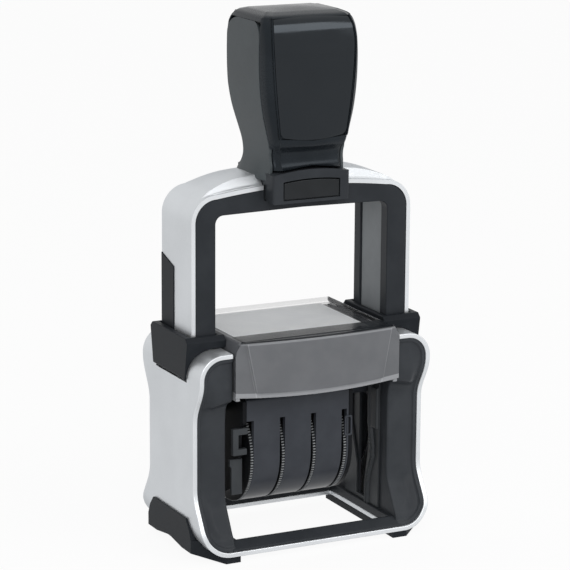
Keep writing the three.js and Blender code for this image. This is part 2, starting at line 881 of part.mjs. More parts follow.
function makeSkins() {
  const inner = frontPrism(
    bridgeFace(bridgeHalf - skinWall, 0, skinLegEnd - cutOverrun),
    -bridgeHalfDepth - cutOverrun, bridgeHalfDepth + cutOverrun,
  );
  const middle = block(
    -bridgeHalf, neckHalfWidth + seatGap,
    -bridgeHalfDepth - cutOverrun, bridgeHalfDepth + cutOverrun,
    archCrown - cutOverrun - skinWall, archCrown + cutOverrun + skinWall,
  );
  const recess = sidePrism(ribFace(seatGap), bridgeHalf - ribRecess - seatGap, bridgeHalf + cutOverrun);
  const solid = frontPrism(bridgeFace(bridgeHalf, skinWall, skinLegEnd), -bridgeHalfDepth, bridgeHalfDepth)
    .subtract(inner)
    .add(makeHump())
    .subtract(middle)
    .subtract(recess)
    .intersect(block(0, bridgeHalf, -bridgeHalfDepth, bridgeHalfDepth, 0, handleTop));
  placePair("bridge_skin", solid, "silver");
  const rib = sidePrism(ribFace(0), bridgeHalf - ribRecess, bridgeHalf + ribProud);
  placePair("leg_rib", rib, "black");
}

// The neck block, the lock button and its spring

function makeNeckBlock() {
  const faceTop = [];
  for (let k = 0; k <= arcSteps; k += 1) {
    const x = neckHalfWidth * (1 - (2 * k) / arcSteps);
    faceTop.push([x, archHeight(blockTop + blockArch, blockArch, neckHalfWidth, x)]);
  }
  const face = vectors([
    [-neckHalfWidth, blockBottom - blockFootRise],
    [neckHalfWidth, blockBottom - blockFootRise],
    ...faceTop,
  ]);
  const frontY = -bridgeHalfDepth - seatGap;
  const saddleLow = archCrown;
  const seatZ = handleBase - seatGap;
  const lipY = handleCentreY - handleHalfDepth * handleShares[0][2] - seatGap;
  const side = vectors([
    [frontY, blockBottom - blockFootRise],
    [frontY, saddleLow],
    [blockBack, saddleLow],
    [blockBack, seatZ],
    [lipY, seatZ],
    [lipY, blockTop + blockArch],
    [blockFront, blockTop + blockArch],
    [blockFront, blockBottom],
  ]);
  const pocket = block(
    -buttonHalfWidth - buttonGap, buttonHalfWidth + buttonGap,
    blockFront - cutOverrun, pocketBack,
    buttonBottom - buttonGap, buttonTop + buttonGap,
  );
  const solid = frontPrism(face, blockFront - cutOverrun, blockBack + cutOverrun)
    .intersect(sidePrism(side, -neckHalfWidth, neckHalfWidth))
    .subtract(pocket);
  place("neck_block", solid, "black");
}

function makeLockButton() {
  const front = blockFront - buttonProud;
  const rim = outline([
    [-buttonHalfWidth, buttonBottom, buttonGap],
    [buttonHalfWidth, buttonBottom, buttonGap],
    [buttonHalfWidth, buttonTop, buttonGap],
    [-buttonHalfWidth, buttonTop, buttonGap],
  ]);
  place("lock_button", frontPrism(rim, front, front + buttonDepth), "black");
}

// A helix of round wire as one closed tube, from one end to the other along +Z
function helix(radius, wire, turns, length) {
  const steps = turns * curlSteps;
  const rings = [];
  for (let k = 0; k <= steps; k += 1) {
    const angle = (2 * Math.PI * k) / curlSteps;
    const z = wire + ((length - 2 * wire) * k) / steps;
    const ring = [];
    for (let s = 0; s < wireSides; s += 1) {
      const turn = (2 * Math.PI * s) / wireSides;
      const out = radius + wire * Math.cos(turn);
      ring.push(new THREE.Vector3(out * Math.cos(angle), out * Math.sin(angle), z - wire * Math.sin(turn)));
    }
    rings.push(ring);
  }
  return loft(rings);
}

function reportSpringGap(name, wire, turns, length) {
  const pitch = (length - 2 * wire) / turns;
  console.log(`${name}: least gap between turns ${(pitch - 2 * wire).toFixed(2)} mm`);
}

function makeSprings() {
  const foot = columnFloor + seatGap;
  const length = returnSpringTop - foot;
  const coil = helix(returnSpringRadius, returnSpringWire, returnSpringTurns, length)
    .translate([springX, 0, foot]);
  placePair("return_spring", coil, "steel");
  reportSpringGap("return_spring", returnSpringWire, returnSpringTurns, length);
  const back = blockFront - buttonProud + buttonDepth + seatGap;
  const room = pocketBack - back - seatGap;
  const small = helix(lockSpringRadius, lockSpringWire, lockSpringTurns, room)
    .rotate([-90, 0, 0])
    .translate([0, back, (buttonBottom + buttonTop) / 2]);
  place("lock_spring", small, "steel");
  reportSpringGap("lock_spring", lockSpringWire, lockSpringTurns, room);
}

// The handle

// One section of the grip: a rectangle with cut corners at a share of the height
function handleRing([heightShare, widthShare, depthShare], inset) {
  const z = handleBase + handleHeight * heightShare;
  const a = handleHalfWidth * widthShare - inset;
  const b = handleHalfDepth * depthShare;
  const c = handleChamfer;
  const corners = [[a - c, -b], [a, -b + c], [a, b - c], [a - c, b]];
  const ring = [...corners, ...corners.map(([x, y]) => [-x, -y])];
  return ring.map(([x, y]) => new THREE.Vector3(x, y + handleCentreY, z));
}

function handleSolid(inset) {
  return loft(handleShares.map((row) => handleRing(row, inset)));
}

// The outline of one side shell in the side view, drawn out by some distance
function sideShellFace(grow) {
  const front = sideShellFront - grow;
  const back = 2 * handleCentreY - sideShellFront + grow;
  const high = sideShellTop + grow;
  return outline([
    [front, handleBase - cutOverrun * Math.sign(grow)],
    [back, handleBase - cutOverrun * Math.sign(grow)],
    [back, high, sideShellRadius],
    [front, high, sideShellRadius],
  ]);
}

function plateFace(grow) {
  return vectors([
    [-plateLowHalfWidth - grow, plateLow - grow],
    [plateLowHalfWidth + grow, plateLow - grow],
    [plateHighHalfWidth + grow, handleTop + grow],
    [-plateHighHalfWidth - grow, handleTop + grow],
  ]);
}

const handleAhead = handleCentreY - handleHalfDepth - cutOverrun;

function makeHandle() {
  const whole = handleSolid(0);
  const wide = handleHalfWidth + cutOverrun;
  const shell = whole
    .intersect(sidePrism(sideShellFace(0), 0, wide))
    .subtract(handleBand(sideShellWall));
  placePair("handle_side", shell, "grip");

  const bezelZone = handleFront(seatGap);
  const plate = whole
    .intersect(bezelZone)
    .intersect(frontPrism(plateFace(0), handleAhead, 0))
    .subtract(handleShifted(plateWall));
  place("handle_plate_front", plate, "gloss");
  place("handle_plate_rear", flippedAbout(plate), "gloss");

  const recess = frontPrism(plateFace(seatGap), handleAhead, 0)
    .subtract(handleShifted(plateWall + seatGap));
  const bezel = whole.intersect(bezelZone).subtract(recess);
  place("handle_bezel_front", bezel, "black");
  place("handle_bezel_rear", flippedAbout(bezel), "black");

  const pocket = sidePrism(sideShellFace(seatGap), 0, wide).subtract(handleBand(sideShellWall + seatGap));
  const core = whole
    .subtract(pocket)
    .subtract(pocket.mirror([1, 0, 0]))
    .subtract(handleFront(0))
    .subtract(flippedAbout(handleFront(0)));
  place("handle_core", core, "black");
}

// The space of the front bezel: ahead of the side shells and above the neck
function handleFront(gap) {
  return block(
    -handleHalfWidth - cutOverrun, handleHalfWidth + cutOverrun,
    handleAhead, sideShellFront - gap,
    bezelLow + gap, handleTop + cutOverrun,
  );
}

// The middle of the grip, narrower by an inset and open to the front and back
function handleBand(inset) {
  const points = handleShares.map(([heightShare, widthShare]) => [
    handleHalfWidth * widthShare - inset,
    handleBase + handleHeight * heightShare,
  ]);
  points[0][1] -= cutOverrun;
  points[points.length - 1][1] += cutOverrun;
  const face = vectors([...points, ...mirrored(points)]);
  const reach = handleHalfDepth + cutOverrun;
  return frontPrism(face, handleCentreY - reach, handleCentreY + reach);
}

// The grip moved back by a wall, so that what it leaves of the whole is a skin at the front
function handleShifted(wall) {
  return handleSolid(-cutOverrun).translate([0, wall, -wall]);
}

function flippedAbout(solid) {
  return solid.mirror([0, 1, 0]).translate([0, 2 * handleCentreY, 0]);
}

// The carriage with its wheels and bands

// The cassette's side view, drawn in by some distance
function cassetteFace(inset) {
  const r = cassetteRadius - inset;
  const points = [];
  for (let k = 0; k <= 3 * arcSteps; k += 1) {
    const angle = Math.PI + (Math.PI * k) / (3 * arcSteps);
    points.push([r * Math.cos(angle), wheelCentreZ + r * Math.sin(angle)]);
  }
  points.push([r, cassetteShoulder - inset / 2]);
  points.push([cassetteMouthHalfDepth, cassetteMouth - inset]);
  points.push([-cassetteMouthHalfDepth, cassetteMouth - inset]);
  points.push([-r, cassetteShoulder - inset / 2]);
  return vectors(points);
}

function makeCassette() {
  const x0 = cassetteShift - cassetteHalfWidth;
  const x1 = cassetteShift + cassetteHalfWidth;
  const mouthHalf = cassetteMouthHalfDepth - cassetteWall / 2;
  let shell = sidePrism(cassetteFace(0), x0, x1)
    .subtract(sidePrism(cassetteFace(cassetteWall), x0 - cutOverrun, x1 + cutOverrun))
    .subtract(block(
      x0 - cutOverrun, x1 + cutOverrun,
      -mouthHalf, mouthHalf,
      cassetteShoulder, cassetteMouth + cutOverrun,
    ));
  wheelXs.forEach((x) => {
    shell = shell.subtract(block(
      x - slotWidth / 2, x + slotWidth / 2,
      -cassetteRadius - cutOverrun, cassetteRadius + cutOverrun,
      0, slotTop,
    ));
  });
  place("cassette_shell", shell, "black");

  const shaftHole = rod(shaftRadius + runGap, x0 - cassetteRadius, x1 + cassetteRadius, 0, wheelCentreZ);
  const left = sidePrism(cassetteFace(0), x0 - seatGap - endPlateWall, x0 - seatGap).subtract(shaftHole);
  place("end_plate_left", left, "black");
  const right = sidePrism(cassetteFace(0), x1 + seatGap, x1 + seatGap + endPlateWall).subtract(shaftHole);
  place("end_plate_right", right, "black");
  const plateOuter0 = x0 - seatGap - endPlateWall;
  const plateOuter1 = x1 + seatGap + endPlateWall;
  place("pivot_pin_left", rod(pinRadius, -pinReach, plateOuter0, 0, pivotHeight), "black");
  place("pivot_pin_right", rod(pinRadius, plateOuter1, pinReach, 0, pivotHeight), "black");
  place("wheel_shaft", rod(shaftRadius, plateOuter0, plateOuter1, 0, wheelCentreZ), "steel");
  place("wheel_hook", makeHook(plateOuter0), "black");
}

// The two-pronged hook on the left end plate that the wheels click past
function makeHook(x1) {
  const x0 = x1 - hookReach;
  const front = -cassetteRadius + hookWall / 2;
  const post = block(x0, x0 + hookReach / 2, front, front + hookWall, wheelCentreZ - hookWall, slotTop);
  let hook = post;
  [wheelCentreZ - hookWall, wheelCentreZ + hookWall, slotTop - hookWall].forEach((z) => {
    hook = hook.add(block(x0, x1, front, front + hookWall, z, z + hookWall / 2));
  });
  return hook;
}

// One thumb wheel: a toothed disc with a drum beside it that drives its band
function makeWheel(x, drumX0, drumX1) {
  const rim = cassetteRadius + discProud;
  const points = [];
  for (let k = 0; k < 2 * toothCount; k += 1) {
    const radius = rim - toothDepth * (k % 2);
    const angle = (Math.PI * k) / toothCount;
    points.push([radius * Math.cos(angle), wheelCentreZ + radius * Math.sin(angle)]);
  }
  return sidePrism(vectors(points), x - discWall / 2, x + discWall / 2)
    .add(rod(drumRadius, drumX0, drumX1, 0, wheelCentreZ))
    .subtract(rod(shaftRadius + runGap, x - wheelPitch, x + wheelPitch, 0, wheelCentreZ));
}

// The loop of a band round its drum and the printing nose, outside both by some distance
function bandFace(outside) {
  const drum = drumRadius + runGap + outside;
  const corner = noseCornerRadius + outside;
  const cy = noseHalfDepth + runGap - noseCornerRadius;
  const cz = noseTop + runGap - noseCornerRadius;
  const dy = cy;
  const dz = cz - wheelCentreZ;
  const distance = Math.hypot(dy, dz);
  const lean = Math.atan2(dz, dy) - Math.acos((drum - corner) / distance);
  const points = [];
  for (let k = 0; k <= arcSteps; k += 1) {
    const angle = lean + ((Math.PI / 2 - lean) * k) / arcSteps;
    points.push([cy + corner * Math.cos(angle), cz + corner * Math.sin(angle)]);
  }
  for (let k = 0; k <= arcSteps; k += 1) {
    const angle = Math.PI / 2 + ((Math.PI / 2 - lean) * k) / arcSteps;
    points.push([-cy + corner * Math.cos(angle), cz + corner * Math.sin(angle)]);
  }
  for (let k = 0; k <= 3 * arcSteps; k += 1) {
    const angle = Math.PI - lean + ((Math.PI + 2 * lean) * k) / (3 * arcSteps);
    points.push([drum * Math.cos(angle), wheelCentreZ + drum * Math.sin(angle)]);
  }
  return vectors(points);
}

function makeBand(x0, x1) {
  const relief = block(
    x0 + bandSideGap, x1 - bandSideGap,
    -figureHeight / 2, figureHeight / 2,
    dieFace - figureRelief - bandWall / 2, dieFace,
  );
  return sidePrism(bandFace(bandWall), x0, x1)
    .subtract(sidePrism(bandFace(0), x0 - cutOverrun, x1 + cutOverrun))
    .add(relief);
}

// Two narrow day wheels share the first space, and a month and a year wheel take the next two
function makeWheelsAndBands() {
  const space = wheelPitch - discWall;
  const narrow = space / 2 - bandSideGap / 2;
  wheelXs.forEach((x, i) => {
    const toRight = i === 0;
    const width = i < 2 ? narrow : space - bandSideGap;
    const edge = discWall / 2;
    const x0 = toRight ? x + edge - seatGap : x - edge - width;
    const x1 = toRight ? x + edge + width : x - edge + seatGap;
    place(`date_wheel_${wheelNames[i]}`, makeWheel(x, x0, x1), "black");
    const b0 = (toRight ? x + edge : x - edge - width) + bandSideGap;
    const b1 = (toRight ? x + edge + width : x - edge) - bandSideGap;
    place(`date_band_${wheelNames[i]}`, makeBand(b0, b1), "rubber");
  });
}

function makeNose() {
  const x0 = cassetteShift - cassetteHalfWidth;
  const x1 = cassetteShift + cassetteHalfWidth;
  const face = outline([
    [-noseHalfDepth, noseBase],
    [noseHalfDepth, noseBase],
    [noseHalfDepth, noseTop, noseCornerRadius],
    [-noseHalfDepth, noseTop, noseCornerRadius],
  ]);
  let nose = sidePrism(face, x0, x1);
  wheelXs.forEach((x) => {
    const reach = cassetteRadius + discProud + runGap;
    nose = nose.subtract(rod(reach, x - slotWidth / 2, x + slotWidth / 2, 0, wheelCentreZ));
  });
  place("band_nose", nose, "black");
}

makeBaseShell();
makeBaseFrame();
makeFeet();
makeCollars();
makeGuidePlates();
makePadCover();
makeCardAndTray();
makeCartridge();
makeBridgeFrames();
makeBridgeLiner();
makeSkins();
makeNeckBlock();
makeLockButton();
makeSprings();
makeHandle();
makeCassette();
makeWheelsAndBands();
makeNose();

export default stamp;
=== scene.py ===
# %% [markdown]
# # A self-inking date stamp
# The real object is a heavy office stamp: a silver and black base with two waisted columns, a smoky
# cover over the ink pad, a sprung bridge with a hand grip, and a carriage with four date wheels.
# The measured frame of the stamp is loaded first. Pieces could be modelled apart and then moved in,
# but each one below is worked out in its own place, in millimetres, so that it fits its neighbours,
# and is written to its mesh in metres.

# %% Load the frame
import math
import bpy
import bmesh
import numpy as np
from mathutils import Matrix, Vector


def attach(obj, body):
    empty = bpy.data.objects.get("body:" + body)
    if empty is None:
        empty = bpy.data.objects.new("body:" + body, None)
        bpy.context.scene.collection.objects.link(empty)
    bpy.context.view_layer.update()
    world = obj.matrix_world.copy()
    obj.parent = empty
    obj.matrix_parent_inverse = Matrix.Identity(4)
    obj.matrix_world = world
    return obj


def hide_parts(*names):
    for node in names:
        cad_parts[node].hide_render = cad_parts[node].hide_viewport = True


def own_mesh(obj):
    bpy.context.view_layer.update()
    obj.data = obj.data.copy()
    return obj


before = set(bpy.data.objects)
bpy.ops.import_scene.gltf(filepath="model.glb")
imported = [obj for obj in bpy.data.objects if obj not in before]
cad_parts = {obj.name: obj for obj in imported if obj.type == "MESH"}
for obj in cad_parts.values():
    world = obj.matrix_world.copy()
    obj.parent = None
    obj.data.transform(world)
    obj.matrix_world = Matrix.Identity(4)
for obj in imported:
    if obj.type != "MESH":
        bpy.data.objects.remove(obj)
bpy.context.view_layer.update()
MM = 0.001

# %% [markdown]
# ## Shader maths in plain expressions
# A finish is a tree of nodes, and so is the light of the studio. It could be wired one link at a
# time, but that hides the idea, so this small class wraps one output socket: `a * 0.5 + b` adds the
# Math nodes. Any other node comes from `Tree.node`, which takes the node's type, its settings and
# the values or wires of its inputs.


# %% A wire
class Wire:
    """One output socket of a tree, with the operators that the finishes use."""

    def __init__(self, tree, socket):
        self.tree, self.socket = tree, socket

    def math(self, operation, *operands):
        return self.tree.node("ShaderNodeMath", {"operation": operation},
                              dict(enumerate(operands)))

    def __add__(self, other):
        return self.math("ADD", self, other)

    def __sub__(self, other):
        return self.math("SUBTRACT", self, other)

    def __rsub__(self, other):
        return self.math("SUBTRACT", other, self)

    def __mul__(self, other):
        return self.math("MULTIPLY", self, other)

    def larger(self, other):
        return self.math("MAXIMUM", self, other)

    def size(self):
        return self.math("ABSOLUTE", self)

    def root(self):
        return self.math("SQRT", self)

    __radd__ = __add__
    __rmul__ = __mul__


print("a wire's own words:", [word for word in vars(Wire) if not word.startswith("_")])


# %% A tree and a finish
class Tree:
    """The nodes of a material or of the world."""

    def __init__(self, owner):
        owner.use_nodes = True
        self.tree = owner.node_tree

    def own(self, kind):
        """The node of a kind that the tree came with."""
        return next(node for node in self.tree.nodes if node.type == kind)

    def node(self, kind, settings=None, inputs=None, output=0):
        """Adds a node: first its settings, then a value or a wire for each input named."""
        made = self.tree.nodes.new(kind)
        for key, value in (settings or {}).items():
            setattr(made, key, value)
        for key, value in (inputs or {}).items():
            self.feed(made.inputs[key], value)
        return Wire(self, made.outputs[output])

    def feed(self, socket, value):
        if isinstance(value, Wire):
            self.tree.links.new(value.socket, socket)
        else:
            socket.default_value = value

    def seen(self):
        """1 for rays that end in the picture: from the camera, off gloss or through a cover."""
        camera, glossy, clear = (self.node("ShaderNodeLightPath", output=f"Is {kind} Ray")
                                 for kind in ("Camera", "Glossy", "Transmission"))
        return camera.larger(glossy).larger(clear)


class Finish(Tree):
    """A material that is built round one Principled shader."""

    def __init__(self, name, **constants):
        self.material = bpy.data.materials.new(name)
        super().__init__(self.material)
        self.shader = self.own("BSDF_PRINCIPLED")
        self.set(**constants)

    def set(self, **values):
        """Sockets of the shader by name, with _ for a space; numbers stay on the socket itself."""
        for key, value in values.items():
            self.feed(self.shader.inputs[key.replace("_", " ")], value)

    def place(self):
        return self.node("ShaderNodeTexCoord", output="Object")

    def axes(self):
        """The three object coordinates, in millimetres."""
        return [self.node("ShaderNodeSeparateXYZ", {}, {"Vector": self.place()}, k) * (1 / MM)
                for k in range(3)]

    def noise(self, cell, detail=3.0, stretch=(1, 1, 1)):
        """Noise whose blotches are about one cell wide, in millimetres."""
        where = self.node("ShaderNodeMapping", {}, {"Vector": self.place(), "Scale": stretch})
        return self.node("ShaderNodeTexNoise", {}, {
            "Vector": where, "Scale": 1 / (cell * MM), "Detail": detail, "Roughness": 0.55})

    def blend(self, factor, first, second):
        """Mixes two colours by a factor from 0 to 1."""
        return self.node("ShaderNodeMix", {"data_type": "RGBA"},
                         {0: factor, 6: first, 7: second}, output=2)

    def ramp(self, value, low, high):
        """Stretches the values between low and high over 0 to 1."""
        return self.node("ShaderNodeMapRange", {"interpolation_type": "SMOOTHSTEP"},
                         {"Value": value, "From Min": low, "From Max": high})

    def relief(self, height, depth):
        """Tilts the normal by a height of 0 to 1; depth is how many millimetres that is."""
        return self.node("ShaderNodeBump", {}, {
            "Height": height, "Strength": 1.0, "Distance": depth * MM})


def paint(red, green, blue):
    """A screen's colour, 0 to 255, as linear light: the sRGB curve taken backwards."""
    shares = np.array([red, green, blue]) / 255
    linear = np.where(shares <= 0.04045, shares / 12.92, ((shares + 0.055) / 1.055) ** 2.4)
    return (*linear.tolist(), 1.0)


print("a screen's grey of 128 is", round(paint(128, 128, 128)[0], 3), "in linear light")

# %% [markdown]
# ## Moulded plastics
# The frames are black plastic with a fine spark-eroded grain, the grip's flanks are softer and
# matter, and its plates are glossy. A picture of grain would need unwrapping. Noise on the object's
# coordinates needs none and stays sharp: broad drifts shift the colour, and fine cells the gloss
# and the normal.

# %% Moulded plastics
GRAIN, GRAIN_DEPTH, DRIFT = 0.25, 0.006, 9.0
GLOSS_BY_GRAIN, GLOSS_BY_DRIFT = 0.16, 0.04
PLAIN_SHINE, COLD_SHINE = (1.0, 1.0, 1.0, 1.0), (0.8, 0.9, 1.0, 1.0)


def moulded(name, dark, light, rough, shine, grain=GRAIN, depth=GRAIN_DEPTH, tint=PLAIN_SHINE):
    """A moulded plastic from two close colours; grain and its depth are in millimetres."""
    finish = Finish(name, Specular_IOR_Level=shine, Specular_Tint=tint)
    drift = finish.ramp(finish.noise(DRIFT), 0.35, 0.65)
    fine = finish.noise(grain, detail=2.0)
    gloss = rough + (fine - 0.5) * GLOSS_BY_GRAIN + drift * GLOSS_BY_DRIFT
    finish.set(Base_Color=finish.blend(drift, paint(*dark), paint(*light)), Roughness=gloss,
               Normal=finish.relief(fine, depth))
    return finish.material


black_plastic = moulded("black_plastic", (48, 51, 55), (54, 57, 61), 0.38, 0.1)
# A lighter copy of the black plastic, painted light on the column fronts; the bars of the same
# frame keep the plain black.
lightened_column_black = moulded("lightened_column_black", (54, 57, 61), (60, 63, 67), 0.38, 0.12)
frame_black = moulded("frame_black", (44, 47, 51), (49, 52, 56), 0.38, 0.1)
sole_black = moulded("sole_black", (32, 35, 39), (38, 41, 45), 0.44, 0.08)
carriage_black = moulded("carriage_black", (56, 59, 65), (62, 65, 71), 0.3, 0.15, depth=0.005)
deep_black = moulded("deep_black", (16, 18, 21), (22, 24, 27), 0.45, 0.1)
# A lighter copy of the black plastic, painted light: the guide plates on the inner walls and the
# catch get too little lamp light.
lightened_black = moulded("lightened_black", (60, 63, 66), (66, 69, 72), 0.4, 0.15)
button_black = moulded("button_black", (22, 25, 28), (27, 30, 33), 0.42, 0.25)
liner_grey = moulded("liner_grey", (124, 128, 131), (132, 136, 139), 0.5, 0.3)
soft_grip = moulded("soft_grip", (60, 66, 69), (68, 74, 77), 0.52, 0.36, 0.3, 0.012)
grip_black = moulded("grip_black", (24, 28, 32), (29, 33, 37), 0.24, 0.2, 0.3, 0.004, COLD_SHINE)
gloss_plate = moulded("gloss_plate", (6, 7, 9), (9, 10, 12), 0.1, 0.42, 3.0, 0.002, COLD_SHINE)
band_rubber = moulded("band_rubber", (26, 26, 27), (38, 38, 39), 0.75, 0.2, 0.35, 0.02)
ink_felt = moulded("ink_felt", (14, 14, 24), (30, 30, 44), 0.95, 0.1, 0.18, 0.05)
card_paper = moulded("card_paper", (236, 238, 240), (242, 244, 245), 0.8, 0.5, 0.5, 0.01)
print("moulded finishes:", len(bpy.data.materials))

# %% [markdown]
# ## Silver paint
# The shell and the bridge's skins are sprayed with a metallic paint. Bare metal would mirror the
# room too clearly: in paint small flakes lie at all angles. So the finish is a rather rough metal
# with a dull mirror, and fine noise for the flakes works on colour, gloss and normal together.

# %% Silver paint
FLAKE, SPRAY = 0.12, 14.0


def silver():
    """Metallic paint: sprayed drifts, and pale specks where the flakes catch the light."""
    finish = Finish("silver_paint", Specular_Tint=(0.45, 0.46, 0.47, 1.0))
    flake = finish.noise(FLAKE, detail=1.0)
    drift = finish.ramp(finish.noise(SPRAY), 0.3, 0.7)
    colour = finish.blend(drift, paint(217, 220, 223), paint(223, 226, 229))
    sparkle = finish.blend(finish.ramp(flake, 0.55, 0.75), colour, paint(230, 232, 234))
    finish.set(Base_Color=sparkle, Metallic=0.85, Roughness=0.4 + (flake - 0.5) * 0.12,
               Normal=finish.relief(flake, 0.003))
    return finish.material


silver_paint = silver()
print("silver paint: flakes", FLAKE, "mm, nodes", len(silver_paint.node_tree.nodes))

# %% [markdown]
# ## Surfaces from numbers
# Moulded and bent pieces are smooth surfaces with a few clear creases. They could be pushed into
# shape point by point; here each one is a grid of points worked out with numpy, row by row, and
# joined by quads, so its formula can be read and changed. A Solidify modifier gives a sheet its
# wall, and a Bevel modifier rounds the rims.

# %% Curves
SIDES = {"right": 1, "left": -1}
FLIP = np.array([-1, 1])
ROUND_STEPS = 5


def line(start, end, count):
    """Points of a straight line, evenly spaced."""
    return np.linspace(start, end, count)


def runs(*spans):
    """Evenly spaced values over spans of (start, end, count), one span after another."""
    return np.concatenate([np.linspace(*span) for span in spans])


def arc(middle, radius, start, end, count):
    """Points of a circle's arc, angles in degrees."""
    angle = np.radians(np.linspace(start, end, count))
    return np.stack([middle[0] + radius * np.cos(angle), middle[1] + radius * np.sin(angle)], 1)


def hill(share):
    """1 - s^2: 1 in the middle, 0 where the share is 1 to either side, and beyond."""
    return 1 - np.clip(np.abs(share), 0, 1) ** 2


def smooth_step(value, low, high):
    """0 below low, 1 above high, and 3t^2 - 2t^3 between them."""
    t = np.clip((value - low) / (high - low), 0, 1)
    return t * t * (3 - 2 * t)


def bump(distance, half_width):
    """A smooth ridge: 1 on its line, 0 beyond its half width."""
    return 1 - smooth_step(np.abs(distance), half_width * 0.45, half_width)


def straight(rows, at):
    """Straight lines through rows of (position, value), level beyond both ends."""
    return np.interp(at, *np.array(rows, float).T)


def through(rows, at):
    """Smooth curves through rows of (position, value, ...), as cubics whose slopes are averaged."""
    rows = np.array(rows, float)
    key, values = rows[:, 0], rows[:, 1:]
    slopes = np.gradient(values, key, axis=0)
    i = np.clip(np.searchsorted(key, at) - 1, 0, len(key) - 2)
    span = (key[i + 1] - key[i])[:, None]
    t = np.clip((np.asarray(at) - key[i])[:, None] / span, 0, 1)
    return ((1 + 2 * t) * (1 - t) ** 2 * values[i] + t * (1 - t) ** 2 * span * slopes[i]
            + t * t * (3 - 2 * t) * values[i + 1] - t * t * (1 - t) * span * slopes[i + 1])


print("a quarter up a smooth step:", smooth_step(0.25, 0, 1), "and off a hill:", hill(0.25))


# %% Rounded outlines
def rounded(corners, radii):
    """Rounds many outlines at once: corners is (rows, corners, 2). Each inner corner becomes the
    quadratic curve that leaves the straight sides one radius away from it."""
    before, here, after = corners[:, :-2], corners[:, 1:-1], corners[:, 2:]
    radius = np.asarray(radii, float)[None, :, None]

    def towards(other):
        side = other - here
        length = np.linalg.norm(side, axis=-1, keepdims=True)
        return here + side / np.maximum(length, 1e-9) * np.minimum(radius, length * 0.49)

    t = np.linspace(0, 1, ROUND_STEPS)[None, None, :, None]
    curve = ((1 - t) ** 2 * towards(before)[:, :, None] + 2 * t * (1 - t) * here[:, :, None]
             + t ** 2 * towards(after)[:, :, None])
    return np.concatenate([corners[:, :1], curve.reshape(len(corners), -1, corners.shape[2]),
                           corners[:, -1:]], axis=1)


elbow = rounded(np.array([[(0, 0), (1, 0), (1, 1)]], float), [0.3])
print("a rounded corner has", elbow.shape[1], "points")


# %% Grids to meshes
def grid(x, y, z):
    """A (rows, columns, 3) grid from coordinates that spread over one another."""
    return np.stack(np.broadcast_arrays(x, y, z), axis=-1)


def middles(points):
    """x, y and z of the middle of every quad, from two opposite corners."""
    return np.moveaxis((points[:-1, :-1] + points[1:, 1:]) / 2, -1, 0)


def new_piece(name, mesh):
    """A smoothly shaded object in the scene, at the origin."""
    mesh.polygons.foreach_set("use_smooth", [True] * len(mesh.polygons))
    piece = bpy.data.objects.new(name, mesh)
    bpy.context.scene.collection.objects.link(piece)
    return piece


def grid_piece(name, points, centre, round_rows=False, round_columns=False, caps=False,
               keep=None):
    """Joins neighbours of a grid in millimetres by quads. round_ joins the last to the first, caps
    closes both ends, keep leaves out quads, and faces turn away from centre."""
    rows, columns = points.shape[:2]
    index = np.arange(rows * columns).reshape(rows, columns)
    if round_rows:
        index = np.vstack([index, index[:1]])
    if round_columns:
        index = np.hstack([index, index[:, :1]])
    quads = np.stack([index[:-1, :-1], index[:-1, 1:], index[1:, 1:], index[1:, :-1]], axis=-1)
    quads = quads[keep] if keep is not None else quads.reshape(-1, 4)
    flat = points.reshape(-1, 3)
    a, b, c = (flat[quads[:, k]] for k in (0, 1, 3))
    outward = np.sum(np.cross(b - a, c - a) * (a - np.array(centre, float)))
    faces = (quads if outward > 0 else quads[:, ::-1]).tolist()
    if caps:
        ends = [index[0, :columns].tolist(), index[-1, :columns].tolist()]
        faces += [ends[0][::-1], ends[1]] if outward > 0 else [ends[0], ends[1][::-1]]
    mesh = bpy.data.meshes.new(name)
    mesh.from_pydata((flat * MM).tolist(), [], faces)
    edit = bmesh.new()
    edit.from_mesh(mesh)
    bmesh.ops.remove_doubles(edit, verts=edit.verts, dist=0.001 * MM)
    loose = [v for v in edit.verts if not v.link_faces]
    bmesh.ops.delete(edit, geom=loose, context="VERTS")
    if caps or (round_rows and round_columns):
        bmesh.ops.recalc_face_normals(edit, faces=edit.faces)
    edit.to_mesh(mesh)
    edit.free()
    return new_piece(name, mesh)


def round_edges(piece, radius, segments=2, crease=30.0):
    """Rounds every edge that turns by more than the crease angle, and shades the rest smooth."""
    piece.data.set_sharp_from_angle(angle=math.radians(crease))
    bevel = piece.modifiers.new("round_edges", "BEVEL")
    bevel.width, bevel.segments = radius * MM, segments
    bevel.limit_method, bevel.angle_limit = "ANGLE", math.radians(crease)
    bevel.harden_normals = True
    return piece


def sheet(name, points, centre, thickness, radius, even=False, segments=2, crease=30.0, **ways):
    """A grid with a wall inwards from its faces and rounded rims, both in millimetres. The other
    ways are those of grid_piece."""
    piece = grid_piece(name, points, centre, **ways)
    solid = piece.modifiers.new("wall", "SOLIDIFY")
    solid.thickness, solid.offset, solid.use_even_offset = thickness * MM, -1.0, even
    return round_edges(piece, radius, segments, crease)


ruled = grid(np.arange(3)[:, None], np.arange(4), 0.0)
print("a grid of", ruled.shape[:2], "points has", middles(ruled).shape[1:], "quads")

# %% [markdown]
# ## Softened pieces
# No moulded edge is sharp. Plain pieces could all be modelled again, but where the frame's own
# shape is right a copy of it will do: its loose triangles are merged, flat faces are joined again,
# and a Bevel modifier rounds every crease, so the edges catch the light.


# %% Dress and soften
def dress(piece, body, node, material, slot="black_plastic"):
    """Puts a finished piece on its body in place of a node of the frame, and prints its size."""
    piece.data.materials.clear()
    piece.data.materials.append(material)
    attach(piece, body)
    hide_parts(node)
    points = np.empty(len(piece.data.vertices) * 3, np.float32)
    piece.data.vertices.foreach_get("co", points)
    size = np.ptp(points.reshape(-1, 3), axis=0) / MM
    print(f"{piece.name} on {body}: " + " x ".join(f"{side:.1f}" for side in size) + " mm")


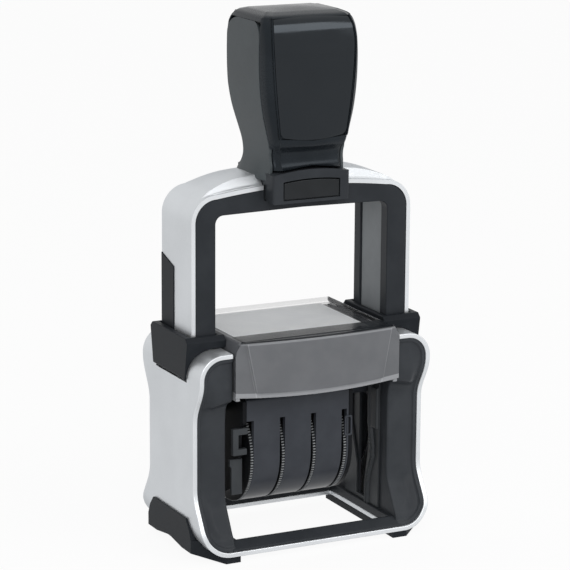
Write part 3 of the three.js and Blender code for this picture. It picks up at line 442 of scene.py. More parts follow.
def softened(node, radius):
    """A copy of a frame node with joined flat faces and edges rounded to a radius, in mm."""
    near, flat = 0.002 * MM, math.radians(0.6)
    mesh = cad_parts[node].data.copy()
    edit = bmesh.new()
    edit.from_mesh(mesh)
    bmesh.ops.remove_doubles(edit, verts=edit.verts, dist=near)
    bmesh.ops.dissolve_degenerate(edit, edges=edit.edges, dist=near)
    bmesh.ops.dissolve_limit(edit, angle_limit=flat, verts=edit.verts, edges=edit.edges)
    edit.to_mesh(mesh)
    edit.free()
    return round_edges(new_piece(node + "_soft", mesh), radius)


def dress_softened(rows):
    """Rows of (node, body, material, edge radius), and a slot where it isn't black plastic; the
    slot is not used.
    """
    for node, body, material, radius, *slot in rows:
        dress(softened(node, radius), body, node, material, *slot)


print("edges will be rounded on copies of frame nodes, such as", sorted(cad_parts)[0])

# %% [markdown]
# ## The silver shell
# The shell is one bent and painted strip: a U in the front view, waisted in the side view. A box
# with cuts would need its waist carved. As a sheet it has one parameter round the U and one across
# the depth; the quads over the window and over the legs' shafts are left out, and the rim is
# rounded so that it shines all the way round.

# %% The waist and the U
SHELL_HALF, SHELL_LOW, SHELL_TOP, SHELL_WALL = 33.25, 1.9, 55.0, 1.25
FOOT_RADIUS, SHOULDER_RADIUS = 8.0, 6.5
FOOT_X, FOOT_Z = SHELL_HALF - FOOT_RADIUS, SHELL_LOW + FOOT_RADIUS
SHOULDER_X, SHOULDER_Z = SHELL_HALF - SHOULDER_RADIUS, SHELL_TOP - SHOULDER_RADIUS
WINDOW_X, WINDOW_Y, SHAFT_INNER, SHAFT_DEPTH = 22.2, 16.2, 24.4, 9.7
SKIRT_DEPTH, WAIST_IN, SHOULDER_OUT, SKIRT_FLARE = 19.3, 5.55, 4.25, 0.9
SKIRT_TOP, WAIST_RUN, WAIST_TOP, SHOULDER_RUN, FLARE_RUN = 5.5, 13.5, 36.5, 11.5, 3.7
FLOOR_TOP, SHAFT_LOW, CUT_TURN = 3, 47, 15
BASE_MIDDLE = (0, 0, 25)


def waist(z):
    """Half depth of the base: a flared skirt, half a cosine in to the waist and one out again."""
    inwards, outwards = ((1 - np.cos(np.pi * np.clip((z - low) / run, 0, 1))) / 2
                         for low, run in ((SKIRT_TOP, WAIST_RUN), (WAIST_TOP, SHOULDER_RUN)))
    return (SKIRT_DEPTH - WAIST_IN * inwards + SHOULDER_OUT * outwards
            + SKIRT_FLARE * np.clip((SKIRT_TOP - z) / FLARE_RUN, 0, 1))


def shell_path():
    """The U from the right end of its top, down round the foot, and mirrored to the left. Points
    stand close on both sides of an edge where quads will be left out."""
    near, along = 0.5, 2.2
    right_half = np.concatenate([
        line((SHAFT_INNER - near, SHELL_TOP), (SHAFT_INNER, SHELL_TOP), 2),
        line((SHAFT_INNER + near, SHELL_TOP), (SHOULDER_X, SHELL_TOP), 4)[:-1],
        arc((SHOULDER_X, SHOULDER_Z), SHOULDER_RADIUS, 90, 0, 20),
        line((SHELL_HALF, SHOULDER_Z - near), (SHELL_HALF, FOOT_Z + near), 60),
        arc((FOOT_X, FOOT_Z), FOOT_RADIUS, 0, -90, 24),
        line((WINDOW_X + along, SHELL_LOW), (WINDOW_X, SHELL_LOW), 3),
        line((WINDOW_X - along, SHELL_LOW), (0, SHELL_LOW), 11)])
    return np.concatenate([right_half, right_half[-2::-1] * FLIP])


def base_shell():
    """Each row of the U is cut at the window's or the shaft's half depth, and meets the waist."""
    x, z = shell_path().T[:, :, None]
    cut = SHAFT_DEPTH + (WINDOW_Y - SHAFT_DEPTH) * (1 - smooth_step(z, FLOOR_TOP, CUT_TURN))
    inner, outer = np.linspace(0, 1, 9), np.linspace(0, 1, 8)[1:]
    y = np.concatenate([cut * inner, cut + (waist(z) - cut) * outer], axis=1)
    points = grid(x, np.concatenate([-y[:, :0:-1], y], axis=1), z)
    x, y, z = middles(points)
    near = np.abs(y) < cut[:-1]
    window = near & (z < FLOOR_TOP) & (np.abs(x) < WINDOW_X)
    shafts = near & (z > SHAFT_LOW) & (np.abs(x) > SHAFT_INNER)
    return sheet("silver_shell", points, BASE_MIDDLE, SHELL_WALL, 0.5, even=True, segments=3,
                 crease=40, keep=~(window | shafts))


dress(base_shell(), "base", "base_shell", silver_paint, "silver_paint")
print("half depth at skirt, waist and top:", np.round(waist(np.array([SHELL_LOW, 25, 55])), 2))

# %% [markdown]
# ## The columns
# The black frame inside the shell has moulded fronts: a thin lip follows the silver rim, and inside
# it the face steps back under the shoulder, runs flat down the waist and slants out to the foot.
# Cutting that out of a block leaves hard corners, so the front is a height over (x, z) that mixes
# the rim's profile with the inner, sharper one, by the distance from the rim.

# %% Column fronts
COLUMN_INNER, COLUMN_WALL, RIM_GAP, BEAD = 23.6, 0.72, 1.35, 0.55
RIM_IN, RIM_CLEAR, FRONT_SLANT = 0.4, 0.02, 0.22
PIN_SLOT_LOW, PIN_SLOT_TOP, PIN_SLOT_HALF = 6.6, 39.85, 2.6
FRONT_ROWS = [  # height, half depth of the moulded front
    (3.2, 18.7), (5.2, 18.3), (6.4, 17.7), (14.2, 13.3), (16.0, 12.85), (18.0, 12.75),
    (36.0, 12.75), (39.4, 13.1), (40.9, 13.9), (41.7, 15.2), (42.3, 16.5), (43.2, 17.1),
    (46.0, 17.25), (55.0, 17.3)]
CORNERS = [  # outer radius, its middle's x and z, and 1 where the corner lies above it, else -1
    (SHOULDER_RADIUS, SHOULDER_X, SHOULDER_Z, 1), (FOOT_RADIUS, FOOT_X, FOOT_Z, -1)]


def rim_distance(x, z):
    """Distance inwards from the shell's inner outline: straight sides and two rounded corners."""
    out, top, low = SHELL_HALF - RIM_GAP, SHELL_TOP - RIM_GAP, SHELL_LOW + RIM_GAP
    distance = np.minimum(np.minimum(out - x, top - z), z - low)
    for radius, middle_x, middle_z, up in CORNERS:
        across, along = x - middle_x, (z - middle_z) * up
        turned = radius - RIM_GAP - np.hypot(across, along)
        distance = np.where((across > 0) & (along > 0), turned, distance)
    return distance


def column_reach(z):
    """The furthest x inside the shell's rounded corners at each height."""
    reach = []
    for radius, middle_x, middle_z, up in CORNERS:
        beyond = np.clip((z - middle_z) * up, 0, radius - RIM_GAP)
        reach.append(middle_x + np.sqrt((radius - RIM_GAP) ** 2 - beyond ** 2))
    return np.minimum(*reach) - RIM_CLEAR


def column_depth(x, z):
    """Half depth of the front: the lip at the rim, and inside it the moulded profile."""
    inner = straight(FRONT_ROWS, z + FRONT_SLANT * (x - COLUMN_INNER))
    rim, distance = waist(z) - RIM_IN, rim_distance(x, z)
    soft, step = smooth_step(distance, 0.5, 4.2), smooth_step(distance, 0.75, 1.15)
    face = (rim - BEAD) * (1 - soft) + inner * soft
    return rim * (1 - step) + np.minimum(face, rim + 3.0) * step


def column(word, side):
    """A C-shaped wall in plan: moulded front, inner wall with the pin's slot, moulded rear."""
    z = runs((3.27, 10, 22), (10.4, PIN_SLOT_TOP, 50), (PIN_SLOT_TOP + 0.25, 53.6, 50))[:, None]
    share = runs((1, 0.72, 12), (0.69, 0.0, 18))
    start = COLUMN_INNER + BEAD
    x = start + (column_reach(z) - start) * share
    front = grid(x, -column_depth(x, z), z)
    turn = np.radians([67, 45, 22, 0])
    bead, inner = np.repeat(front[:, -1:], 4, axis=1), np.repeat(front[:, -1:], 3, axis=1)
    bead[..., 0] -= BEAD * np.cos(turn)
    bead[..., 1] += BEAD * (1 - np.sin(turn))
    inner[..., 0], inner[..., 1] = COLUMN_INNER, (-9.0, -5.8, -PIN_SLOT_HALF)
    half = np.concatenate([front, bead, inner], axis=1)
    points = np.concatenate([half, half[:, ::-1] * (1, -1, 1)], axis=1) * (side, 1, 1)
    y, z = middles(points)[1:]
    slot = (np.abs(y) < PIN_SLOT_HALF) & (z > PIN_SLOT_LOW) & (z < PIN_SLOT_TOP)
    return sheet("column_" + word, points, (side * 28, 0, 25), COLUMN_WALL, 0.1, segments=1,
                 crease=50, keep=~slot)


for word, side in SIDES.items():
    # The columns wear the lighter copy of the black plastic, painted light.
    dress(column(word, side), "base", "base_frame", lightened_column_black)

# %% [markdown]
# ## Bars and ledges
# Round the open window in the floor run four straight mouldings, with a sloping face front and
# rear. A box with a bevel can't slope, and a curve with a profile would have to be converted, so
# each is a closed section of a few points, carried straight along the window's side.

# %% Bars and ledges round the window
SILL_LOW, SILL_TOP = 3.2, 5.3
BAR = [(WINDOW_Y, SILL_LOW), (WINDOW_Y, SILL_TOP), (16.9, SILL_TOP), (19.1, 3.95), (19.6, 3.6),
       (19.7, SILL_LOW)]
LEDGE = [(WINDOW_X, SILL_LOW), (WINDOW_X, SILL_TOP), (23.7, SILL_TOP), (23.7, SILL_LOW)]


def bar(name, section, reach, along_x):
    """A closed section of (across, height) rows, carried straight from -reach to reach."""
    run = np.linspace(-reach, reach, 9)[:, None]
    across, height = section.T
    points = grid(run, across, height) if along_x else grid(across, run, height)
    centre = (0, across.mean(), 4) if along_x else (across.mean(), 0, 4)
    return round_edges(grid_piece(name, points, centre, round_columns=True, caps=True), 0.2)


for name, side, section, reach, along_x in (
        ("window_bar_front", -1, BAR, 24.6, True), ("window_bar_rear", 1, BAR, 24.6, True),
        ("window_ledge_left", -1, LEDGE, 16.3, False),
        ("window_ledge_right", 1, LEDGE, 16.3, False)):
    piece = bar(name, np.array(section) * (side, 1), reach, along_x)
    dress(piece, "base", "base_frame", black_plastic)

# %% [markdown]
# ## The pad's cover
# The cover is a clear smoky lid. Its flat top has a sunk window over the card, and its bowed apron
# hides the pad: a raised panel with slanted ends, and a thin lip set back along the bottom. One
# closed moulding would need real refraction to look right and would render slowly. Here lid and
# apron are two thin sheets, whose Alpha is lowest over the card and higher where the plastic is
# thick.

# %% The cover's sizes and its smoky plastic
COVER_TOP, COVER_LOW, WINDOW_SINK, LID_WALL, APRON_WALL = 58.0, 42.6, 0.3, 1.1, 0.9
CARD_FRONT, CARD_REAR = (-12.35, -11.9), (15.8, 16.15)
CARD_SIDE = (20.6, 21.2)
APRON_FRONT, APRON_BOW, APRON_SIDE, SET_BACK = 19.3, 1.9, 23.6, 0.7
PANEL_HALF, PANEL_LOW, PANEL_SLANT = 18.3, 44.5, 0.19
LID_SHOULDER = [  # half width and height, from the window's side to the foot
    (CARD_SIDE[0], COVER_TOP), (CARD_SIDE[1], COVER_TOP), (21.5, 57.95), (22.0, 57.65),
    (22.45, 57.1), (22.8, 56.4), (22.95, 55.2), (23.1, 54.6), (23.3, 53.8), (23.3, 50.0),
    (23.3, COVER_LOW)]
APRON_ROWS = [  # height, half width of the apron
    (42, APRON_SIDE), (54.0, APRON_SIDE), (55.6, 23.3), (56.8, 22.7), (57.4, 22.2), (58, 21.4)]


def smoky():
    """A clear grey moulding. Over the card it is clear; elsewhere its thickness swallows light.
    Its front ridge is painted dark, for the black parts and the shade beneath it, and its lip and
    the panel's edges are painted pale, as highlights."""
    finish = Finish("smoky_plastic", IOR=1.5, Specular_IOR_Level=0.05, Coat_Roughness=0.08)
    ramp, blend = finish.ramp, finish.blend
    x, y, z = finish.axes()
    drift = ramp(finish.noise(7.0), 0.3, 0.7)
    inside = ramp(z, 56.4, 56.8) * ramp(x.size(), 21.3, 20.9)
    inside = inside * ramp(y, -12.5, -12.1) * ramp(y, 17.3, 16.9)
    # Painted shade: the front ridge is darkened for the black parts and the shade under the cover.
    ridge = ramp(y, -12.3, -12.5) * ramp(z, 57.5, 57.9)
    # Painted highlights: the lip along the apron's foot, the panel's slanted ends and its top rim
    # are lightened.
    lip = ramp(z - x * x * 0.0015, 44.05, 43.85) * ramp(y, -15.0, -16.0)
    panel_end = (x.size() - z * PANEL_SLANT - (PANEL_HALF - PANEL_LOW * PANEL_SLANT)).size()
    edges = (ramp(panel_end, 0.3, 0.05) + ramp(z, 57.1, 57.3)) * ramp(y, -17.2, -17.6) * 0.35
    body = blend(drift, paint(98, 100, 104), paint(103, 105, 109))
    # The pale colour here is the painted highlight on the lip and the edges.
    body = blend(lip * 0.6 + edges, body, paint(176, 178, 182))
    # The dark colour here is the painted shade on the front ridge.
    finish.set(Base_Color=blend(ridge, body, paint(36, 39, 43)),
               Roughness=0.2 + drift * 0.05 - inside * 0.08,
               Alpha=0.93 + drift * 0.02 - inside * 0.86,
               Coat_Weight=1 - ramp(z, 57.75, 57.95) * (1 - inside))
    return finish.material


smoky_plastic = smoky()
print("the card's window:", 2 * CARD_SIDE[0], "x", round(CARD_REAR[0] - CARD_FRONT[1], 2), "mm")


# %% Lid and apron
def cover_lid():
    """A section across the width, carried to the rear; the window sinks by smooth steps."""
    flat = [(x, COVER_TOP) for x in (0, *np.linspace(1, 20.2, 14))]
    right = np.array(flat + LID_SHOULDER)
    x, z = np.concatenate([right[:0:-1] * FLIP, right]).T
    y = runs((-18.15, -12.4, 6), (-12.3, -11.9, 3), (-10, 15, 12), (15.8, 16.2, 3),
             (16.6, 17.0, 2))[:, None]
    window = smooth_step(y, *CARD_FRONT) * (1 - smooth_step(y, *CARD_REAR))
    sunk = WINDOW_SINK * window * (1 - smooth_step(np.abs(x), *CARD_SIDE))
    points = grid(x, y, z - sunk * (z > COVER_TOP - 0.1))
    return sheet("cover_lid", points, (0, 0, 45), LID_WALL, 0.25, even=True)


def cover_apron():
    """Bowed rows from the ridge down. The columns follow the panel's slanted ends, so that the
    step back to the wings is crisp; below the last panel row the lip steps back in the same way."""
    radius, bend = 0.7, np.radians([0, 22, 45, 67, 90])
    top = [(1.5, COVER_TOP, 0)]
    top += [(radius - radius * np.sin(a), COVER_TOP - radius + radius * np.cos(a), 0) for a in bend]
    face = [(0.0, z, 0) for z in np.linspace(56.8, 44.1, 36)]
    lip = [(0.0, 43.98, 1), (0.0, 43.5, 1), (0.0, 43.0, 1), (0.1, 42.75, 1), (0.4, COVER_LOW, 1)]
    inwards, z, on_lip = np.array(top + face + lip).T[:, :, None]
    half = straight(APRON_ROWS, z)
    panel = np.minimum(PANEL_HALF + (z - PANEL_LOW) * PANEL_SLANT, half - 1.0)
    wing = panel + 0.14
    right = np.concatenate([panel * np.linspace(0, 1, 34),
                            wing + (half - wing) * np.linspace(0, 1, 9)], axis=1)
    x = np.concatenate([-right[:, :0:-1], right], axis=1)
    fade = 1 - smooth_step(z, 57.2, COVER_TOP)
    back = SET_BACK * np.maximum((np.abs(x) > panel) * fade, on_lip)
    bow = APRON_FRONT + APRON_BOW * hill(x / APRON_SIDE)
    height = z + 0.7 * (x / 22) ** 2 * np.clip((57 - z) / 13, 0, 1)
    points = grid(x, -(bow - inwards - back), height)
    return sheet("cover_apron", points, (0, 0, 50), APRON_WALL, 0.12)


for piece in (cover_lid(), cover_apron()):
    dress(piece, "base", "pad_cover", smoky_plastic, "smoky_plastic")

# %% [markdown]
# ## Feet, collars and the pad
# The soles, the collars round the legs, the card, its tray and the parts of the ink cartridge are
# plain pieces that the frame already has in full. They could be dressed as they are, but their
# edges would look cut with a knife, so each is softened by a radius that fits its size.

# %% Feet, collars and the pad
dress_softened([
    ("foot_right", "base", sole_black, 0.35), ("foot_left", "base", sole_black, 0.35),
    ("collar_right", "base", sole_black, 0.35), ("collar_left", "base", sole_black, 0.35),
    ("index_card", "base", card_paper, 0.05, "card"), ("card_tray", "base", black_plastic, 0.2),
    ("ink_tray", "cartridge", black_plastic, 0.2),
    ("ink_pad", "cartridge", ink_felt, 0.2, "ink_felt"),
    ("cartridge_grip", "cartridge", black_plastic, 0.3),
])

# %% [markdown]
# ## The guide plates
# On each column's inner wall sits a plate with the track that the carriage's pin runs in. The
# track is wide at the top and narrows to a slot; two thin rails bend along its front edge, and a
# raised panel lies in front of them. Separate strips would have to be joined to the plate, so the
# whole is one relief over (y, z): the rails are narrow bumps round their own curve, the panel is a
# product of smooth steps, and the track's quads are left out.

# %% Guide plates
PLATE_FACE, PLATE_REACH, GUIDE_WALL, TRACK_FOOT = 23.0, 9.15, 0.45, 6.4
TRACK_FRONT = [(14.5, -2.35), (20.0, -3.5), (26.0, -3.6)]
TRACK_REAR = [(14.5, 2.7), (20.0, 4.4), (26.0, 6.4)]
RAIL = [(11, -2.9), (14, -3.6), (19, -5.6), (22, -5.5), (28, -4.3)]
RAIL_HEIGHT, RAIL_APART, PANEL_HEIGHT, TRACK_STEPS = 0.65, 1.15, 0.6, 32


def guide_plate(word, side):
    """Columns of points in front of, across and behind the track, and a relief in x."""
    z = np.linspace(5.45, 41.95, 147)[:, None]
    front, rear = straight(TRACK_FRONT, z), straight(TRACK_REAR, z)
    share = np.linspace(0, 1, TRACK_STEPS + 1)
    y = np.concatenate([-PLATE_REACH + (front + PLATE_REACH) * share,
                        front + (rear - front) * share[1:],
                        rear + (PLATE_REACH - rear) * share[1:]], axis=1)
    off_rail = y - straight(RAIL, z)
    rails = bump(off_rail, 0.42) + bump(off_rail + RAIL_APART, 0.34)
    panel = (smooth_step(y, -9.0, -8.75) * (1 - smooth_step(y, -6.05, -5.8))
             * smooth_step(z, 27.0, 27.3) * (1 - smooth_step(z, 38.2, 38.5)))
    relief = np.maximum(RAIL_HEIGHT * rails * (panel < 0.5), PANEL_HEIGHT * panel)
    points = grid(side * (PLATE_FACE - relief), y, z)
    strip = np.arange(y.shape[1] - 1) // TRACK_STEPS
    track = (strip == 1) & (middles(points)[2] > TRACK_FOOT)
    return sheet("track_plate_" + word, points, (side * 100, 0, 24), GUIDE_WALL, 0.1, segments=1,
                 crease=50, keep=~track)


for word, side in SIDES.items():
    # The guide plates wear the lighter copy of the black plastic, painted light.
    dress(guide_plate(word, side), "base", "guide_plate_" + word, lightened_black)

# %% [markdown]
# ## The bridge's skins
# Over each leg lies a thin silver strip that bends round the corner and climbs to the neck in a
# raised hump with slanted flanks. Joined boxes would show a seam at the bend. The strip is one
# sheet along that path, the hump is a height added to it, and the columns of points follow the
# hump's creases, so its front facet stays sharp.

# %% Skins with the hump
ARCH_CROWN, ARCH_RADIUS, SKIN_WALL = 95.0, 175.95, 1.1
BRIDGE_HALF, BRIDGE_DEPTH, BRIDGE_BEND, LEG_LOW, NECK_SIDE = 31.5, 9.1, 7.1, 44.0, 10.95
HUMP, HUMP_FOOT, HUMP_START, HUMP_RUN, FACET = 2.35, 7.4, 27.8, 12.5, 0.8
GROOVE, GROOVE_AT, SKIN_CROWN = 0.28, 7.8, 0.35


def arch(x):
    """Height of the bridge's top line, a circle through its crown."""
    return ARCH_CROWN - ARCH_RADIUS + np.sqrt(ARCH_RADIUS ** 2 - x ** 2)


def bridge_skin(word, side):
    """Rows go up the leg, round the corner and in to the neck. The hump's height is a parabola
    along the path, and falls to its foot down a flat facet on each side."""
    turn_x = BRIDGE_HALF - BRIDGE_BEND
    corner_z = arch(turn_x) + SKIN_WALL - BRIDGE_BEND
    inward = np.linspace(turn_x - 0.6, NECK_SIDE, 30)
    x, z = np.concatenate([
        line((BRIDGE_HALF, LEG_LOW), (BRIDGE_HALF, corner_z - 0.8), 24),
        arc((turn_x, corner_z), BRIDGE_BEND, 0, 90, 18),
        np.stack([inward, arch(inward) + SKIN_WALL], 1)]).T[:, :, None]
    rise = HUMP * (1 - (1 - np.clip((HUMP_START - x) / HUMP_RUN, 0, 1)) ** 2) * (z > corner_z)
    crease = HUMP_FOOT - FACET * rise
    edge = np.array([BRIDGE_DEPTH, 8.9, 8.6, 8.2, 8.0, 7.7, 7.55]) + 0 * x
    half = np.concatenate([edge, HUMP_FOOT + (crease - HUMP_FOOT) * np.linspace(0, 1, 6),
                           crease * np.linspace(1, 0, 13)[1:]], axis=1)
    y = np.concatenate([-half, half[:, -2::-1]], axis=1)
    depth = np.abs(y)
    slope = np.clip((HUMP_FOOT - depth) / (FACET * rise + 1e-6), 0, 1)
    groove = GROOVE * bump(depth - GROOVE_AT, 0.3) * np.clip(rise, 0, 1)
    crown = SKIN_CROWN * hill(depth / np.maximum(crease, 0.1)) * (rise / HUMP)
    points = grid(side * x, y, z + rise * slope + crown - groove)
    return sheet("silver_skin_" + word, points, (side * 20, 0, 70), SKIN_WALL, 0.35, segments=3,
                 crease=32)


for word, side in SIDES.items():
    dress(bridge_skin(word, side), "bridge", "bridge_skin_" + word, silver_paint, "silver_paint")

# %% [markdown]
# ## The bridge's frames
# Between the skins stand two black arched frames with a liner between them, and each leg has a
# black grip panel on its outer face. They could be built anew, but they are flat mouldings, right
# in the frame already, so a softened copy saves modelling the arches a second time.

# %% The bridge's frames
dress_softened([
    ("bridge_front_frame", "bridge", frame_black, 0.3),
    ("bridge_rear_frame", "bridge", frame_black, 0.3),
    ("bridge_liner", "bridge", liner_grey, 0.15),
    ("leg_rib_right", "bridge", sole_black, 0.2), ("leg_rib_left", "bridge", sole_black, 0.2),
])

# %% [markdown]
# ## The block under the grip
# The neck stands on a block that juts out over the front frame. Its plan is a U with rounded
# corners and its top is arched. A Boolean could sink the button's pocket, but it leaves thin
# triangles, so the block is one skin of rows and the pocket's quads are left out of its front. The
# button fills the pocket but for a narrow dark gap, and its own top edge is arched too.

# %% The block
GRIP_Y = -2.7
BLOCK_HALF, BLOCK_FRONT, BLOCK_REAR, BLOCK_LOW, BLOCK_RADIUS = 10.9, -14.0, 7.6, 91.5, 0.9
OVERHANG_REAR, BLOCK_SEAT, BLOCK_SIDE_TOP, BLOCK_RISE, BLOCK_WALL = -9.3, 94.5, 98.9, 1.1, 1.0
POCKET_HALF, POCKET_LOW, POCKET_SIDE_TOP, POCKET_RISE = 8.1, 92.3, 97.1, 0.55


def block_top(x):
    return BLOCK_SIDE_TOP + BLOCK_RISE * hill(x / BLOCK_HALF)


def pocket_top(x):
    return POCKET_SIDE_TOP + POCKET_RISE * hill(x / POCKET_HALF)


def neck_block():
    """Plan points round the block; rows go up the walls, then shrink to the middle of the top."""
    r, end_x = BLOCK_RADIUS, BLOCK_HALF - BLOCK_RADIUS
    front_x = np.unique([*np.linspace(-end_x, end_x, 25), -POCKET_HALF, POCKET_HALF])
    right = np.concatenate([
        arc((end_x, BLOCK_FRONT + r), r, -75, 0, 6),
        line((BLOCK_HALF, BLOCK_FRONT + 1.6), (BLOCK_HALF - 0.4, BLOCK_REAR), 12),
        line((BLOCK_HALF - 1.2, BLOCK_REAR + 0.3), (0, BLOCK_REAR + 0.3), 8)])
    front = np.column_stack([front_x, np.full(len(front_x), BLOCK_FRONT)])
    x, y = np.concatenate([front, right, (right[:-1] * FLIP)[::-1]]).T
    low = np.where(y < OVERHANG_REAR, BLOCK_LOW, BLOCK_SEAT)
    under = np.where(y < BLOCK_FRONT + 0.05, POCKET_LOW, low + (POCKET_LOW - BLOCK_LOW))
    over = np.where(np.abs(x) < POCKET_HALF + 0.01, pocket_top(x), POCKET_SIDE_TOP)
    stages = [(low, under, (0, 0.4, 1.0)), (under, over, (0.25, 0.5, 0.75, 1.0)),
              (over, block_top(x), (0.35, 0.7, 1.0))]
    rows = [np.column_stack([x, y, start + (end - start) * t])
            for start, end, steps in stages for t in steps]
    rows += [np.column_stack([x * share, (y - GRIP_Y) * share + GRIP_Y,
                              block_top(x * share) + 0.3 * (1 - share)])
             for share in (0.95, 0.8, 0.5, 0.0)]
    row = np.arange(len(rows) - 1)[:, None]
    middle_x, middle_y = ((along + np.roll(along, -1)) / 2 for along in (x, y))
    pocket = ((row >= 2) & (row < 6) & (middle_y < BLOCK_FRONT + 0.05)
              & (np.abs(middle_x) < POCKET_HALF))
    return sheet("grip_block", np.array(rows), (0, GRIP_Y, 95), BLOCK_WALL, 0.28, segments=3,
                 crease=32, round_columns=True, keep=~pocket)


print("the block's top is arched from", block_top(BLOCK_HALF), "to", block_top(0), "mm")

# %% The button, and dark tubes for the shade in the block's seams
BUTTON_HALF, BUTTON_GAP, BUTTON_FRONT, BUTTON_CROWN, BUTTON_DEEP = 7.85, 0.3, -13.95, 0.12, 2.2
SEAM_RADIUS, SEAM_DEEP, SEAM_Y = 0.2, 0.12, -9.12


def lock_button():
    """A low box with an arched top and a slightly crowned face."""
    x = np.linspace(-BUTTON_HALF, BUTTON_HALF, 33)
    share = np.linspace(0, 1, 9)[:, None]
    low = POCKET_LOW + BUTTON_GAP
    z = low + (pocket_top(x * POCKET_HALF / BUTTON_HALF) - BUTTON_GAP - low) * share
    points = grid(x, BUTTON_FRONT - BUTTON_CROWN * hill(x / BUTTON_HALF), z)
    return sheet("press_button", points, (0, 0, 95), BUTTON_DEEP, 0.2)


def seam_shadow_tube(word, side):
    """Painted shade for the gap where the block meets the frame: a thin dark tube down its side and
    round its foot, rings of eight points square to the path."""
    edge, foot, bend = BLOCK_HALF + 0.22, 92.5, 0.7
    path = np.concatenate([line((edge, 96.0), (edge, foot), 12),
                           arc((edge - bend, foot), bend, 0, -75, 6)[1:]])
    turn = np.arange(8) * 2 * np.pi / 8
    run = np.gradient(path, axis=0)
    run = run / np.linalg.norm(run, axis=1, keepdims=True)
    wide = SEAM_RADIUS * np.cos(turn)
    points = grid(side * (path[:, :1] - run[:, 1:] * wide), SEAM_Y + SEAM_DEEP * np.sin(turn),
                  path[:, 1:] + run[:, :1] * wide)
    return grid_piece("seam_shadow_tube_" + word, points, (0, SEAM_Y, 94), round_columns=True, caps=True)


# A dark tube on each side is painted shade for the gap beside the block.
for word, side in SIDES.items():
    dress(seam_shadow_tube(word, side), "bridge", "neck_block", deep_black)
dress(neck_block(), "bridge", "neck_block", black_plastic)
dress(lock_button(), "button", "lock_button", button_black)

# %% [markdown]
# ## The grip
# The grip is a waisted, eight-sided form: glossy plates front and rear, a chamfered bezel round
# each, and soft shells on the flanks that run down into the flared neck. Sculpted one by one they
# would never meet, so all of them are strips of one lofted form: only the section's corners change
# with the height.

# %% The grip's section
GRIP_ROWS = [  # height, half width, depth to the front and to the rear of the middle
    (97.6, 10.7, 11.3, 10.5), (98.6, 10.7, 11.2, 10.0), (99.7, 10.6, 10.9, 9.4),
    (101.2, 10.6, 10.0, 8.8), (103.0, 10.7, 9.6, 8.6), (104.4, 10.8, 9.9, 8.7),
    (105.3, 10.9, 10.6, 8.8), (106.3, 11.05, 11.4, 9.0), (108.4, 11.5, 12.0, 9.6),
    (111.0, 12.1, 12.2, 10.4), (114.2, 12.8, 12.35, 11.4), (118.3, 13.4, 12.45, 12.3),
    (122.4, 13.75, 12.5, 12.8), (126.5, 13.9, 12.5, 12.9), (130.7, 13.9, 12.4, 12.9),
    (134.4, 13.75, 11.9, 12.7), (136.7, 13.4, 11.1, 12.3), (138.1, 12.75, 10.0, 11.5),
    (139.1, 11.8, 8.5, 10.1), (139.7, 10.4, 6.2, 7.6)]
PLATE_ROWS = [  # height, half width of the plate
    (104, 9.0), (108.3, 9.35), (118, 10.5), (128, 11.3), (134, 11.4), (137.5, 10.9), (140, 9.9)]
CORNER_RADII = [0.05, 0.05, 0.7, 1.0, 3.0, 1.0, 0.7, 0.05, 0.05]
FLANK_FRONT, FLANK_REAR, FLANK_SHARE = 8.4, 10.6, 0.84
PLATE_LOW, PLATE_HIGH = 108.3, 139.1
BEZEL_LOW, BEZEL_HIGH = 105.4, 138.5
BEZEL_POINTS = 1 + 3 * ROUND_STEPS + 4  # the middle, three corners and most of the fourth
FLANK_LOW, FLANK_HIGH = 97.0, 137.5
NECK_FLARE, FLARE_TOP, FLARE_RUN_UP = 2.6, 103.5, 5.9
GRIP_MIDDLE = (0, GRIP_Y, 120)


def plate_half(z):
    """Half width of the plate: narrow at its foot, wider up the grip, and in again at the top."""
    return through(PLATE_ROWS, z)[:, 0]


def grip_outline(z, front_in=0.0, flank_in=0.0, recess=0.0):
    """The right half of the grip's section at each height, front to rear, as (x, y) rows: plate,
    bezel edge, corner, flank, and the same backwards. The ins move the faces inwards."""
    half, ahead, behind = through(GRIP_ROWS, z).T
    half = half - flank_in
    plate = np.minimum(plate_half(z), half - 1.6)

    def quarter(depth, flank):
        return [(0 * half, -depth + recess), (plate, -depth + recess), (plate, -depth + 0.1),
                (half - 0.8, -depth + 1.5), (half - 0.1, -np.minimum(flank, FLANK_SHARE * depth))]

    front = quarter(ahead - front_in, FLANK_FRONT) + [(half, 0 * half)]
    rear = [(x, -y) for x, y in quarter(behind - front_in, FLANK_REAR)[::-1]]
    return rounded(np.array(front + rear).transpose(2, 0, 1), CORNER_RADII)


def flare(z, y):
    """How far the neck's flanks spread over the hump: a parabola below the flare's top, from the
    middle to the back, where it eases in again."""
    low = np.clip((FLARE_TOP - z) / FLARE_RUN_UP, 0, 1)
    along = smooth_step(y, -FLANK_FRONT, 1.0) * (1 - 0.45 * smooth_step(y, 5, 9))
    return NECK_FLARE * low ** 2 * along


print("grip half width at its waist:", min(row[1] for row in GRIP_ROWS[:-1]), "mm, at its widest:",
      max(row[1] for row in GRIP_ROWS))

# %% The grip's core and crown
SUNK, CROWN_RISE, HAIR = 0.9, 0.6, 0.06
ARCH_SIDE, ARCH_RISE, ARCH_HALF = 99.75, 1.25, 9.5


